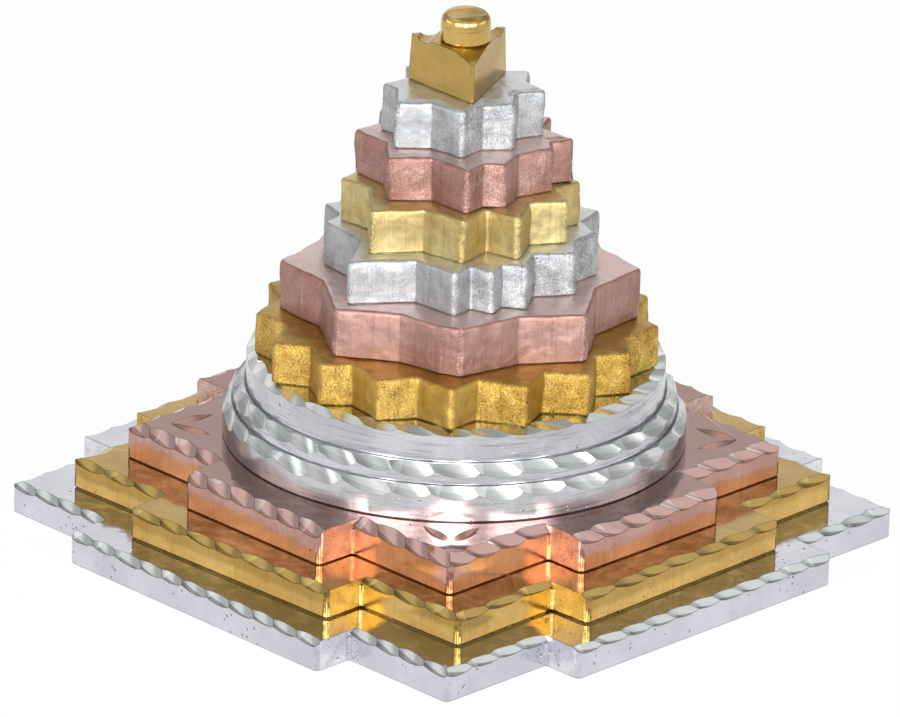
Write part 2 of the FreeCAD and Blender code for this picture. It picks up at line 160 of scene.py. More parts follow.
# Outlines of the tiers: turn, share of the reach, and how grainy the wall that follows is, from 0 to 1
tier_outlines = {
    "lotus_sixteen": (29.6 * mm, [
        (-22, 0.98, 1), (-12, 0.88, 0), (-1, 1.0, 0), (7, 0.88, 1), (20, 0.99, 0), (29, 0.86, 1),
        (40, 1.0, 0), (52, 0.85, 1), (61, 0.96, 0), (71, 0.87, 1), (84, 0.98, 0), (95, 0.87, 1),
        (108, 0.98, 0), (119, 0.88, 1), (132, 1.0, 0), (143, 0.87, 1), (155, 0.98, 0), (167, 0.88, 1),
        (179, 0.99, 0), (190, 0.87, 1), (203, 0.98, 0), (214, 0.88, 1), (226, 1.0, 0), (237, 0.87, 1),
        (250, 0.99, 0), (261, 0.88, 1), (274, 0.98, 1), (286, 0.87, 0), (297.5, 1.0, 1), (306, 0.86, 0),
        (318.5, 0.98, 1), (325.5, 0.87, 0),
    ]),
    "lotus_eight": (26.2 * mm, [
        (-43, 0.98, 0), (-21.5, 0.835, 0), (-5, 0.935, 0), (1.5, 0.97, 0), (9, 0.905, 0), (23.5, 0.83, 0),
        (45.5, 0.985, 0), (67.5, 0.81, 0), (90.5, 1.0, 0), (112, 0.85, 0), (134, 0.98, 0), (157, 0.83, 0),
        (179, 0.99, 0), (202, 0.84, 0), (225, 0.98, 0), (247, 0.84, 0), (271, 0.98, 0), (283, 0.87, 0),
        (292, 0.80, 0),
    ]),
    "star_fourteen": (23.8 * mm, [
        (-42, 1.0, 0.5), (-21, 0.72, 0.3), (-1, 0.89, 0.4), (5.5, 0.76, 0.6), (13.5, 0.86, 0.6),
        (20, 0.76, 0.8), (29, 0.84, 0.9), (40, 0.70, 0.9), (55.5, 0.85, 0.9), (67, 0.75, 0.9),
        (81, 0.84, 0.6), (94, 0.73, 0.3), (106, 0.88, 0), (118, 0.74, 0.3), (131, 0.92, 0), (143, 0.73, 0.3),
        (156, 0.90, 0), (168, 0.73, 0.3), (180, 0.88, 0), (192, 0.73, 0.3), (204, 0.90, 0), (217, 0.74, 0.3),
        (229, 0.92, 0), (241, 0.73, 0.3), (254, 0.86, 0), (266, 0.74, 0.3), (276, 0.82, 0), (302, 0.70, 0.3),
    ]),
    "star_ten_outer": (19.5 * mm, [
        (-41, 1.0, 0.2), (-21, 0.74, 0), (1.5, 0.91, 0.3), (16.5, 0.68, 0), (28, 0.92, 0.3), (46, 0.70, 0),
        (62, 0.90, 0.3), (76, 0.71, 0), (89, 0.89, 0.3), (107, 0.72, 0), (125, 0.93, 0.3), (142, 0.71, 0),
        (160, 0.92, 0.3), (178, 0.70, 0), (196, 0.93, 0.3), (214, 0.71, 0), (235, 0.93, 0.3), (254, 0.72, 0),
        (275, 0.89, 0.3), (292.5, 0.72, 0),
    ]),
    "star_ten_inner": (16.3 * mm, [
        (-44, 0.93, 0.6), (-22, 0.705, 0.2), (3, 0.945, 0.6), (14, 0.79, 0.7), (26.5, 0.85, 0.3),
        (44, 0.705, 0.6), (68, 0.86, 0.3), (79, 0.80, 0.3), (87, 1.0, 0.3), (106, 0.73, 0), (123, 0.93, 0.3),
        (141, 0.72, 0),
        (159, 0.95, 0.3), (177, 0.71, 0), (195, 0.95, 0.3), (213, 0.72, 0), (232, 0.94, 0.3), (252, 0.74, 0),
        (268.5, 0.955, 0.3), (294, 0.735, 0),
    ]),
    "star_eight": (12.3 * mm, [
        (-52, 1.0, 0.3), (-31, 0.70, 0.5), (0, 0.89, 0.9), (21, 0.64, 0.9), (46.5, 0.82, 0.9),
        (71, 0.65, 0.6), (87.5, 0.97, 0.3), (106, 0.79, 0), (129, 0.97, 0.3), (154, 0.69, 0),
        (179, 0.92, 0.3), (202, 0.68, 0),
        (225, 0.97, 0.3), (247, 0.70, 0), (268.5, 0.965, 0.3), (281, 0.80, 0),
    ]),
    "triangle_tier": (8.7 * mm, [(9, 0.96, 0), (135.5, 1.0, 0), (256, 0.98, 0)]),
}

# Triangle: its leaning sides, the slice off its front corner and the scoops in its back corners
triangle_tip_radius = 0.35 * mm
triangle_draft_share = 0.955
triangle_slice_drop = 1.2 * mm
triangle_slice_left = 3.8 * mm
triangle_slice_right = 6.0 * mm
triangle_scoop_radius = 1.6 * mm
triangle_scoop_depth = 0.55 * mm
triangle_scoop_setback = 2.6 * mm
triangle_slice_widening = 4
triangle_slice_thickness = 5.0 * mm

# Bindu: its rounded edge, its nick and the thread hole below
bindu_edge_radius = 1.5 * mm
bindu_edge_steps = 12
bindu_nick_depth = 0.35 * mm
bindu_nick_radius = 5.0 * mm
bindu_nick_setback = 1.0 * mm
bindu_nick_turn = -70
bindu_nick_length_share = 5
bindu_nick_sides = 256
bindu_thread_depth = 3.1 * mm

# How the meshes are cleaned and shaded: the distance that merges points, and the angles of sharp edges
merge_distance = 0.002 * mm
sharp_angle = 22
ring_sharp_angle, star_sharp_angle, rod_sharp_angle = 12, 25, 50

# The photograph's camera, found from the corners of the plates
image_width = 900
focal_length_in_pixels = 8982.3
sensor_width_mm = 36
camera_distance = 1298.3 * mm
camera_elevation = 21.94
camera_azimuth = 45.01
camera_roll = 1.65
camera_shift_right = -0.2 * mm
camera_shift_up = 23.9 * mm
camera_sight = 20

# The studio: each lamp's azimuth from the camera's, elevation, distance, width, height and power
lamps = {
    "left_lamp": (-33, camera_elevation, 1.6, 0.75, 0.5, 11.5),
    "right_lamp": (33, camera_elevation, 1.6, 0.75, 0.5, 11.5),
    "near_lamp": (0, camera_elevation, 1.5, 0.3, 0.6, 15.0),
    "left_side_lamp": (-90, 19, 1.6, 0.9, 0.34, 1.15),
    "right_side_lamp": (90, 19, 1.6, 0.9, 0.34, 1.1),
}
floor_half = 4.0
floor_drop = 0.02 * mm
floor_glow_share = 0.93

# Sizes of what the metals' surface carries: marks, grain, pits, painted shade lines at sharp edges, and
# patches of tone, of the scoops' painted light and shade, of painted glints, and of wear with painted shade
mark_width = 0.12 * mm
mark_depth = 0.01 * mm
marks_upright = (1, 1, 0.04)
marks_round = (0.06, 0.06, 1)
wave_size = 4.0 * mm
wave_height = 0.25 * mm
plain_grain_size = 0.2 * mm
grain_height = 0.1 * mm
pit_spacing = 0.8 * mm
edge_shade_width = 0.2 * mm
tone_patch = 8.0 * mm
steel_tone_patch = 2.0 * mm
scoop_shade_patch = 6.0 * mm
painted_glint_patch = 8.0 * mm
wear_and_shade_patch = 1.1 * mm

# Painted light and shade in a scoop: where its painted light part begins, how far that place drifts, and how
# it moves with the sweep of the chisel
scoop_shade_place = -0.3
scoop_shade_drift = 0.8
scoop_shade_softness = 0.08
scoop_shade_by_sweep = 0.67

# Finishes: tones as picked from a screen, and shares from 0 to 1. The scoops' shade tone and glints, the
# light on grainy sides, the tone and share of tops and the specks' tone are painted light and shade, the
# lines at sharp edges are painted shade, and the darker corners are wear and painted shade
plain_finish = dict(
    cut_tone=None, cut_shade=None, top_tone=None, top_share=0.0, pits=0.3, glints=0.0, streaks=0.15,
    stretch=marks_upright, line_strength=0.9, cut_roughness=0.12, top_roughness=0.07, wall_roughness=0.14,
    wave=wave_size, waviness=0.25, grain_size=plain_grain_size, least_grain=0.0, corner_wear=0.0,
    side_light=0.0, lean=0.06)
silver_marks = dict(line_tone=(56, 56, 54), pore_tone=(96, 96, 100), speck_tone=(246, 248, 248))
brass_marks = dict(line_tone=(96, 72, 28), pore_tone=(92, 68, 22), speck_tone=(236, 214, 132))
cast_finish = dict(
    top_roughness=0.34, wall_roughness=0.42, line_strength=0.5, wave=2.6 * mm, waviness=1.0, streaks=0.25,
    least_grain=0.2, grain_size=0.24 * mm)
metal_finishes = {
    "silver": dict(
        silver_marks, tone=(212, 212, 220), other_tone=(200, 200, 209), cut_tone=(210, 214, 213),
        cut_shade=(150, 153, 151), pits=0.5, streaks=0.0, corner_wear=0.15, side_light=0.4, glints=0.5),
    "turned_silver": dict(
        silver_marks, tone=(208, 209, 212), other_tone=(188, 189, 192), cut_tone=(200, 204, 204),
        cut_shade=(184, 188, 187), pits=0.2, glints=0.5, streaks=0.35, stretch=marks_round, cut_roughness=0.2,
        line_strength=0.3, wall_roughness=0.19),
    "brass": dict(
        brass_marks, tone=(188, 156, 88), other_tone=(172, 140, 74), cut_tone=(184, 156, 92),
        cut_shade=(136, 110, 54), line_tone=(66, 48, 18), pits=0.06, corner_wear=0.6, side_light=0.5,
        glints=0.4),
    "summit_brass": dict(
        brass_marks, tone=(186, 158, 92), other_tone=(172, 142, 76), pits=0.0, top_roughness=0.2,
        wall_roughness=0.2, streaks=0.05),
    "turned_brass": dict(
        brass_marks, tone=(206, 176, 104), other_tone=(188, 156, 86), pits=0.0, top_roughness=0.2,
        wall_roughness=0.16, streaks=0.5, stretch=marks_round),
    "copper": dict(
        tone=(198, 157, 146), other_tone=(182, 139, 126), cut_tone=(202, 168, 160), cut_shade=(160, 126, 116),
        line_tone=(72, 46, 40), pore_tone=(96, 60, 50), speck_tone=(232, 212, 206), pits=0.05,
        corner_wear=0.6, side_light=0.5, glints=0.6, lean=0.03, top_tone=(146, 116, 110), top_share=0.8),
    "cast_silver": dict(
        cast_finish, tone=(174, 176, 178), other_tone=(154, 156, 158), line_tone=(90, 90, 88),
        pore_tone=(96, 97, 98), speck_tone=(232, 233, 234), pits=0.1, top_share=0.6),
    "cast_brass": dict(
        cast_finish, tone=(184, 154, 84), other_tone=(168, 134, 62), line_tone=(84, 60, 20),
        pore_tone=(98, 74, 24), speck_tone=(232, 208, 122), pits=0.03),
    "pale_brass": dict(
        cast_finish, tone=(188, 174, 126), other_tone=(170, 150, 98), line_tone=(96, 72, 28),
        pore_tone=(98, 74, 24), speck_tone=(248, 236, 180), pits=0.03, top_share=0.3),
    "cast_copper": dict(
        cast_finish, tone=(170, 135, 126), other_tone=(152, 116, 106), line_tone=(96, 60, 50),
        pore_tone=(104, 66, 56), speck_tone=(226, 204, 198), pits=0.03, top_share=0.7),
}

up = Vector((0, 0, 1))


# Node helpers

def add_node(tree, kind, inputs=None, **settings):
    """A node with its settings, and its inputs linked or set, by name or by number."""
    node = tree.nodes.new(kind)
    for name, value in settings.items():
        setattr(node, name, value)
    for key, value in (inputs or {}).items():
        socket = node.inputs[key]
        if isinstance(value, bpy.types.NodeSocket):
            tree.links.new(value, socket)
        else:
            socket.default_value = value
    return node


def maths(tree, operation, *values, clamp=False):
    kind = "ShaderNodeMath"
    return add_node(tree, kind, dict(enumerate(values)), operation=operation, use_clamp=clamp).outputs[0]


def times(tree, first, *others):
    """The product of numbers and sockets."""
    for other in others:
        first = maths(tree, "MULTIPLY", first, other)
    return first


def plus(tree, first, second):
    return maths(tree, "ADD", first, second)


def minus(tree, first, second):
    return maths(tree, "SUBTRACT", first, second)


def over(tree, first, second):
    return maths(tree, "DIVIDE", first, second)


def vector_maths(tree, operation, *values):
    node = add_node(tree, "ShaderNodeVectorMath", dict(enumerate(values)), operation=operation)
    return node.outputs["Value" if operation in ("LENGTH", "DOT_PRODUCT") else "Vector"]


def scaled(tree, vector, factor):
    return add_node(tree, "ShaderNodeVectorMath", {0: vector, "Scale": factor}, operation="SCALE").outputs[0]


def joined(tree, x=0.0, y=0.0, z=0.0):
    return add_node(tree, "ShaderNodeCombineXYZ", {0: x, 1: y, 2: z}).outputs[0]


def parted(tree, vector):
    return add_node(tree, "ShaderNodeSeparateXYZ", {0: vector}).outputs


def position(tree):
    return add_node(tree, "GeometryNodeInputPosition").outputs[0]


def number_input(name, value):
    return name, "NodeSocketFloat", value


def new_tree(name, kind, inputs, outputs):
    """An empty node group with named inputs and outputs, and its input and output nodes."""
    tree = bpy.data.node_groups.new(name, kind)
    for socket_name, socket_kind, default in inputs:
        socket = tree.interface.new_socket(socket_name, in_out="INPUT", socket_type=socket_kind)
        if default is not None:
            socket.default_value = default
    for socket_name, socket_kind in outputs:
        tree.interface.new_socket(socket_name, in_out="OUTPUT", socket_type=socket_kind)
    return tree, tree.nodes.new("NodeGroupInput").outputs, tree.nodes.new("NodeGroupOutput").inputs


def new_shape_tree(name, inputs):
    """An empty Geometry Nodes tree, with the geometry before its own inputs and the material after them."""
    inputs = [("Geometry", "NodeSocketGeometry", None), *inputs, ("Material", "NodeSocketMaterial", None)]
    return new_tree(name, "GeometryNodeTree", inputs, [("Geometry", "NodeSocketGeometry")])


def end_shape_tree(tree, given, result, geometry):
    """Ends a tree in Realize Instances and Set Material."""
    whole = add_node(tree, "GeometryNodeRealizeInstances", {0: geometry})
    dressed = add_node(tree, "GeometryNodeSetMaterial", {
        "Geometry": whole.outputs[0], "Material": given["Material"]})
    tree.links.new(dressed.outputs[0], result["Geometry"])
    return tree


def apply_tree(obj, tree, **values):
    """Runs a Geometry Nodes tree on an object, and keeps the result as its plain mesh."""
    modifier = obj.modifiers.new(tree.name, "NODES")
    modifier.node_group = tree
    sockets = {socket.name: socket.identifier for socket in tree.interface.items_tree
               if socket.in_out == "INPUT"}
    for name, value in values.items():
        modifier[sockets[name.replace("_", " ").capitalize()]] = value
    return keep_result(obj)


def keep_result(obj):
    """Replaces an object's mesh by what its modifiers make of it."""
    bpy.context.view_layer.update()
    result = bpy.data.meshes.new_from_object(obj.evaluated_get(bpy.context.evaluated_depsgraph_get()))
    obj.modifiers.clear()
    obj.data = result
    return obj


# Mesh helpers

def new_object(name, data):
    obj = bpy.data.objects.new(name, data)
    bpy.context.scene.collection.objects.link(obj)
    return obj


def mesh_object(name, points, faces):
    mesh = bpy.data.meshes.new(name)
    mesh.from_pydata(points, (), faces)
    return new_object(name, mesh)


def rectangle(x_low, x_high, y_low, y_high):
    return [Vector((x, y, 0)) for x, y in (
        (x_low, y_low), (x_high, y_low), (x_high, y_high), (x_low, y_high))]


def polar(turn, reach, height=0.0):
    """The point at a turn and a reach, at a height."""
    angle = math.radians(front_corner_direction + turn)
    return Vector((reach * math.cos(angle), reach * math.sin(angle), height))


def turn_about_axis(degrees, size=4):
    return Matrix.Rotation(math.radians(degrees), size, "Z")


def circle(radius, count):
    return [polar(360 * index / count, radius) for index in range(count)]


def rounded_outline(points, tip, valley):
    """An anticlockwise outline with rounded tips and valleys, and for the stretch after each point the number
    of its side and whether it is on a tip."""
    outline, sides, tips = [], [], []
    for index, corner in enumerate(points):
        back = points[index - 1] - corner
        ahead = points[(index + 1) % len(points)] - corner
        outward = back.cross(ahead).z < 0
        shorter = min(back.length, ahead.length)
        back.normalize()
        ahead.normalize()
        half_angle = back.angle(ahead) / 2
        radius = min(tip if outward else valley, math.tan(half_angle) * shorter / 3)
        centre = corner + (back + ahead).normalized() * (radius / math.sin(half_angle))
        start = corner + back * (radius / math.tan(half_angle)) - centre
        sweep = (math.pi - 2 * half_angle) * (1 if outward else -1)
        steps = max(2, math.ceil(abs(math.degrees(sweep)) / arc_step))
        for step in range(steps + 1):
            outline.append(centre + Matrix.Rotation(sweep * step / steps, 3, "Z") @ start)
            sides.append(index if 2 * step >= steps else index - 1)
            tips.append(outward and step < steps)
    return outline, [side % len(points) for side in sides], tips


def split_sides(outline, longest):
    """The outline with its long stretches split evenly, and which old stretch each new one was part of."""
    points, numbers = [], []
    for index, point in enumerate(outline):
        after = outline[(index + 1) % len(outline)]
        parts = max(1, math.ceil((after - point).length / longest))
        points += [point.lerp(after, part / parts) for part in range(parts)]
        numbers += [index] * parts
    return points, numbers


def inset_outline(outline, distance):
    """The outline moved inward by a distance."""
    moved = []
    for index, point in enumerate(outline):
        before = (point - outline[index - 1]).normalized()
        after = (outline[(index + 1) % len(outline)] - point).normalized()
        normal = (up.cross(before) + up.cross(after)).normalized()
        moved.append(point + normal * (distance / max(sharpest_inset_share, normal.dot(up.cross(after)))))
    return moved


def stacked_solid(name, rings, bore=()):
    """A closed solid through rings of points from the foot up, with an optional bore through both caps."""
    count, points, faces = len(rings[0]), [point for ring in rings for point in ring], []
    for level in range(len(rings) - 1):
        low, high = level * count, (level + 1) * count
        for index in range(count):
            after = (index + 1) % count
            faces.append((low + index, low + after, high + after, high + index))
    for ring, first, flip in ((rings[0], 0, True), (rings[-1], (len(rings) - 1) * count, False)):
        hole_first = len(points)
        hole = [Vector((point.x, point.y, ring[0].z)) for point in bore]
        points += hole
        numbers = list(range(first, first + count)) + list(range(hole_first, hole_first + len(hole)))
        for triangle in tessellate_polygon([ring, hole] if hole else [ring]):
            corner = [numbers[number] for number in triangle]
            first_point, second_point, third_point = (points[number] for number in corner)
            upward = (second_point - first_point).cross(third_point - first_point).z > 0
            faces.append(corner if upward != flip else corner[::-1])
    if bore:
        low, high = len(rings) * count, len(rings) * count + len(bore)
        for index in range(len(bore)):
            after = (index + 1) % len(bore)
            faces.append((low + after, low + index, high + index, high + after))
    return mesh_object(name, points, faces)


def at_height(outline, height):
    return [Vector((point.x, point.y, height)) for point in outline]


def rounded_edge(radius, steps):
    """How far in and how far down the points of a rounded top edge lie."""
    turns = [math.radians(90 * step / steps) for step in range(steps + 1)]
    return [(radius * (1 - math.cos(turn)), radius * (1 - math.sin(turn))) for turn in turns]


def edged_rings(outline, low, high, top_radius, foot):
    """Rings for a wall with a broken foot edge and a rounded top edge."""
    rings = [at_height(inset_outline(outline, foot), low), at_height(outline, low + foot)]
    rings += [at_height(inset_outline(outline, inset), high - drop)
              for inset, drop in rounded_edge(top_radius, edge_steps)]
    return rings


def block(name, outline, low, high):
    """An upright solid with plain edges."""
    return stacked_solid(name, [at_height(outline, low), at_height(outline, high)])


def drum(radius, low, high, count=hole_sides):
    return block("drum", circle(radius, count), low, high)


def lathe(name, profile, count=turning_sides, bore=()):
    """A closed solid turned from a profile of radius and height pairs, from the foot up."""
    return stacked_solid(name, [at_height(circle(radius, count), height) for radius, height in profile], bore)


def rod_hole(low, high):
    return drum(rod_radius + rod_clearance, low - overrun, high + overrun)


def combine(obj, others, operation):
    """A boolean of one object with others, which are then removed."""
    for other in others:
        modifier = obj.modifiers.new("combine", "BOOLEAN")
        modifier.object = other
        modifier.operation = operation
        modifier.solver = "MANIFOLD"
    keep_result(obj)
    for other in others:
        bpy.data.objects.remove(other)
    return obj


def shade(obj, angle=sharp_angle):
    """Smooth faces with sharp edges past an angle, doubles merged."""
    mesh = obj.data
    build = bmesh.new()
    build.from_mesh(mesh)
    bmesh.ops.remove_doubles(build, verts=build.verts, dist=merge_distance)
    bmesh.ops.dissolve_degenerate(build, dist=merge_distance, edges=build.edges)
    build.to_mesh(mesh)
    build.free()
    mesh.shade_smooth()
    mesh.set_sharp_from_angle(angle=math.radians(angle))
    return obj


def finish_piece(obj, node, material):
    """Puts a finished piece in the place of its CAD node."""
    obj.name = node + "_dressed"
    obj.data.materials.clear()
    obj.data.materials.append(material)
    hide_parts(node)
    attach(obj, "root")


# Geometry Nodes: a row of chisel scoops along wires

def scoop_tool(tree, given):
    """A cylinder that leans across the edge and is skewed along it, its faces marked for the material."""
    place = position(tree)
    section = joined(tree, y=given["Inset"], z=given["Drop"])
    across = vector_maths(tree, "NORMALIZE", section)
    outward = vector_maths(tree, "CROSS_PRODUCT", (1, 0, 0), across)
    width = vector_maths(tree, "LENGTH", section)
    depth = over(tree, times(tree, given["Drop"], given["Inset"]), width)
    cosine = maths(tree, "COSINE", given["Skew"])
    chord = times(tree, given["Pitch"], cosine)
    radius = over(tree, times(tree, chord, chord), times(tree, given["Ridge"], 8))
    axis = vector_maths(tree, "SUBTRACT", across, joined(tree, x=maths(tree, "TANGENT", given["Skew"])))
    length = times(tree, plus(tree, over(tree, width, cosine), given["Overrun"]), 2)
    cylinder = add_node(tree, "GeometryNodeMeshCylinder", {
        "Vertices": scoop_tool_sides, "Radius": radius, "Depth": length})
    lean = add_node(tree, "FunctionNodeAlignRotationToVector", {"Vector": axis}, axis="Z")
    tool = add_node(tree, "GeometryNodeTransform", {
        "Geometry": cylinder.outputs["Mesh"], "Rotation": lean.outputs[0],
        "Translation": scaled(tree, outward, minus(tree, radius, depth))})
    sideways = vector_maths(tree, "NORMALIZE", vector_maths(tree, "CROSS_PRODUCT", axis, outward))
    sweep = over(tree, vector_maths(tree, "DOT_PRODUCT", place, sideways), times(tree, chord, 0.5))
    rise = over(tree, vector_maths(tree, "DOT_PRODUCT", place, across), times(tree, width, 0.5))
    for name, value, domain in (("cut", 1.0, "FACE"), ("sweep", sweep, "CORNER"), ("rise", rise, "CORNER")):
        tool = add_node(tree, "GeometryNodeStoreNamedAttribute", {
            "Geometry": tool.outputs[0], "Name": name, "Value": value}, data_type="FLOAT", domain=domain)
    return tool.outputs[0]


def scoop_row_tree():
    """Cuts a scoop at every pitch along the loose wires of a mesh, out of its solid part."""
    sizes = {**plate_scoops["base_plate_lower"], "skew": math.radians(scoop_skew), "overrun": scoop_overrun}
    tree, given, result = new_shape_tree("scoop_row", [
        *(number_input(name.capitalize(), value) for name, value in sizes.items()),
        number_input("Looseness", 1.0), ("Seed", "NodeSocketInt", 1)])

    # The places: points along the wires, each turned to run anticlockwise round the axis
    loose = add_node(tree, "FunctionNodeCompare", {
        "A": add_node(tree, "GeometryNodeInputMeshEdgeNeighbors").outputs[0], "B": 0},
        data_type="INT", operation="EQUAL")
    parts = add_node(tree, "GeometryNodeSeparateGeometry", {
        "Geometry": given["Geometry"], "Selection": loose.outputs[0]}, domain="EDGE")
    wires = add_node(tree, "GeometryNodeMeshToCurve", {"Mesh": parts.outputs["Selection"]})
    spans = maths(tree, "ROUND", over(tree, add_node(
        tree, "GeometryNodeSplineLength").outputs["Length"], given["Pitch"]))
    closed = add_node(tree, "GeometryNodeInputSplineCyclic").outputs[0]
    count = minus(tree, plus(tree, spans, 1), closed)
    spaced = add_node(
        tree, "GeometryNodeResampleCurve", {"Curve": wires.outputs[0], "Count": count}, mode="COUNT")
    places = add_node(tree, "GeometryNodeCurveToPoints", {"Curve": spaced.outputs[0]}, mode="EVALUATED")
    around = vector_maths(tree, "CROSS_PRODUCT", (0, 0, 1), position(tree))
    sense = maths(tree, "SIGN", vector_maths(tree, "DOT_PRODUCT", places.outputs["Tangent"], around))
    facing = add_node(tree, "FunctionNodeAlignRotationToVector", {
        "Vector": scaled(tree, places.outputs["Tangent"], sense)}, axis="X", pivot_axis="Z")

    # The hand: each scoop a little off in turn, lean and width
    wobble = add_node(tree, "FunctionNodeRandomValue", {"Seed": given["Seed"]}, data_type="FLOAT_VECTOR")
    wobble.inputs[0].default_value, wobble.inputs[1].default_value = scoop_off_shares
    off = scaled(tree, wobble.outputs[0], times(tree, given["Looseness"], math.radians(scoop_off_turn)))
    turn_off = add_node(tree, "FunctionNodeEulerToRotation", {0: off})
    turned = add_node(tree, "FunctionNodeRotateRotation", {
        "Rotation": facing.outputs[0], "Rotate By": turn_off.outputs[0]}, rotation_space="LOCAL")
    scale = add_node(tree, "FunctionNodeRandomValue", {"Seed": plus(tree, given["Seed"], scale_seed_step)},
                     data_type="FLOAT")
    tree.links.new(minus(tree, 1, times(tree, given["Looseness"], scoop_smaller)), scale.inputs[2])
    tree.links.new(plus(tree, 1, times(tree, given["Looseness"], scoop_larger)), scale.inputs[3])
    tools = add_node(tree, "GeometryNodeInstanceOnPoints", {
        "Points": places.outputs["Points"], "Instance": scoop_tool(tree, given),
        "Rotation": turned.outputs[0], "Scale": scale.outputs[1]})
    cut = add_node(tree, "GeometryNodeMeshBoolean", {
        "Mesh 1": parts.outputs["Inverted"], "Mesh 2": tools.outputs[0]},
        operation="DIFFERENCE", solver="MANIFOLD")
    return end_shape_tree(tree, given, result, cut.outputs["Mesh"])


# Pieces

def heights(node):
    """The bottom and the top of a CAD node."""
    low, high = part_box(node)
    return low.z, high.z


def scoop_wire(points, closed=False):
    """Points and edges of a loose wire."""
    edges = [(index, index + 1) for index in range(len(points) - 1)]
    if closed:
        edges.append((len(points) - 1, 0))
    return points, edges


def add_wires(obj, wires):
    """Adds loose wires to an object's mesh."""
    points = [vertex.co.copy() for vertex in obj.data.vertices]
    faces = [tuple(face.vertices) for face in obj.data.polygons]
    edges = []
    for wire_points, wire_edges in wires:
        edges += [(len(points) + start, len(points) + end) for start, end in wire_edges]
        points += wire_points
    obj.data = bpy.data.meshes.new(obj.name)
    obj.data.from_pydata(points, edges, faces)


def edge_wire(half, height, near, far, pitch, quarter):
    """The wire through the scoops' centres, from near to far along X on the -Y side, turned by quarters."""
    spans = round((far - near) / pitch)
    lead = (far - near) / spans / 2
    turn = turn_about_axis(90 * quarter, 3)
    return scoop_wire([turn @ Vector((x, -half, height)) for x in (near + lead, far - lead)])


def square_outline(x_low, x_high, y_low, y_high):
    return rounded_outline(rectangle(x_low, x_high, y_low, y_high), plate_corner_radius, 0)[0]


def plain_rings(outline, low, high, foot=foot_break):
    """Rings for a block with a broken foot edge and a sharp top edge."""
    return [at_height(inset_outline(outline, foot), low), at_height(outline, low + foot),
            at_height(outline, high)]


def gate_corner(gate_half, half, side, low, high):
    """The small round left in the corner between a gate and the plate's side."""
    radius, lap = gate_corner_radius, gate_corner_overlap
    outline = [(-lap, lap), (-lap, -radius)]
    outline += [(inset, -drop) for inset, drop in rounded_edge(radius, gate_corner_steps)]
    outline.append((radius, lap))
    points = [Vector((side * (gate_half + x), y - half, 0)) for x, y in outline]
    return block("gate_corner", points[::side], low, high)


def plate_gate(node, scoops, seed, quarter, foot):
    """One gate of a plate, scooped along its front, with its side walls marked as grainy."""
    half, gate_half, front = plate_sizes[node].half, plate_sizes[node].gate_half, plate_sizes[node].gate_reach
    sizes = plate_scoops[node]
    low, high = heights(node)
    outline = square_outline(-gate_half, gate_half, -half - front, -half + gate_root_share * sizes["inset"])
    gate = stacked_solid("gate", plain_rings(outline, low, high, foot))
    gate.data.transform(turn_about_axis(90 * quarter))
    add_wires(gate, [edge_wire(half + front, high, -gate_half, gate_half, sizes["pitch"], quarter)])
    apply_tree(gate, scoops, seed=seed, **sizes)
    sideways = turn_about_axis(90 * quarter, 3) @ Vector((1, 0, 0))
    # The grain mark on the side walls also brings painted light there, through the plate metals' side light
    grain = gate.data.attributes.new("grain", "FLOAT", "FACE")
    for face in gate.data.polygons:
        on_side = abs(face.normal.dot(sideways)) > sideways_limit
        grain.data[face.index].value = gate_side_grain if on_side else 0
    return gate


def gated_plate(node, scoops, seed, foot=foot_break):
    """A square plate with four gates, scooped along its top edges."""
    half, gate_half = plate_sizes[node].half, plate_sizes[node].gate_half
    sizes = plate_scoops[node]
    low, high = heights(node)
    body = stacked_solid(node, plain_rings(square_outline(-half, half, -half, half), low, high, foot))
    add_wires(body, [edge_wire(half, high, near, far, sizes["pitch"], quarter) for quarter in range(4)
                     for near, far in ((-half, -gate_half), (gate_half, half))])
    apply_tree(body, scoops, seed=seed, **sizes)
    gates = []
    for quarter in range(4):
        gates.append(plate_gate(node, scoops, seed + quarter + 1, quarter, foot))
        for side in (-1, 1):
            corner = gate_corner(gate_half, half, side, low + foot, high - sizes["drop"])
            corner.data.transform(turn_about_axis(90 * quarter))
            gates.append(corner)
    body.data.attributes.new("grain", "FLOAT", "FACE")
    combine(body, gates, "UNION")
    body.data.transform(turn_about_axis(plate_sizes[node].turn))
    return combine(body, [rod_hole(low, high)], "DIFFERENCE")


def base_plate_lower(scoops):
    """The silver plate, with a counterbore for the nut and the washers."""
    plate = gated_plate("base_plate_lower", scoops, scoop_seeds["base_plate_lower"])
    counterbore = drum(counterbore_radius, -overrun, counterbore_depth, wide_hole_sides)
    return combine(plate, [counterbore], "DIFFERENCE")


def base_plate_middle(scoops):
    return gated_plate("base_plate_middle", scoops, scoop_seeds["base_plate_middle"], middle_plate_foot_break)


def leaf_cutter():
    """A disc with a vee rim, as a ring of points between two tips."""
    disc_radius = (leaf_length / 2) ** 2 / (2 * leaf_depth)
    half_height = disc_radius * (leaf_width / 2) / leaf_depth
    count = leaf_rim_points
    upright = Matrix.Rotation(math.radians(90), 3, "X")
    points = [upright @ point for point in circle(disc_radius, count)]
    points += [Vector((0, -half_height, 0)), Vector((0, half_height, 0))]
    faces = []
    for index in range(count):
        after = (index + 1) % count
        faces += [(index, after, count), (after, index, count + 1)]
    cutter = mesh_object("leaf", points, faces)
    lift = Matrix.Translation((-leaf_length / 2, 0, disc_radius - leaf_depth))
    cutter.data.transform(turn_about_axis(leaf_angle) @ lift)
    return cutter


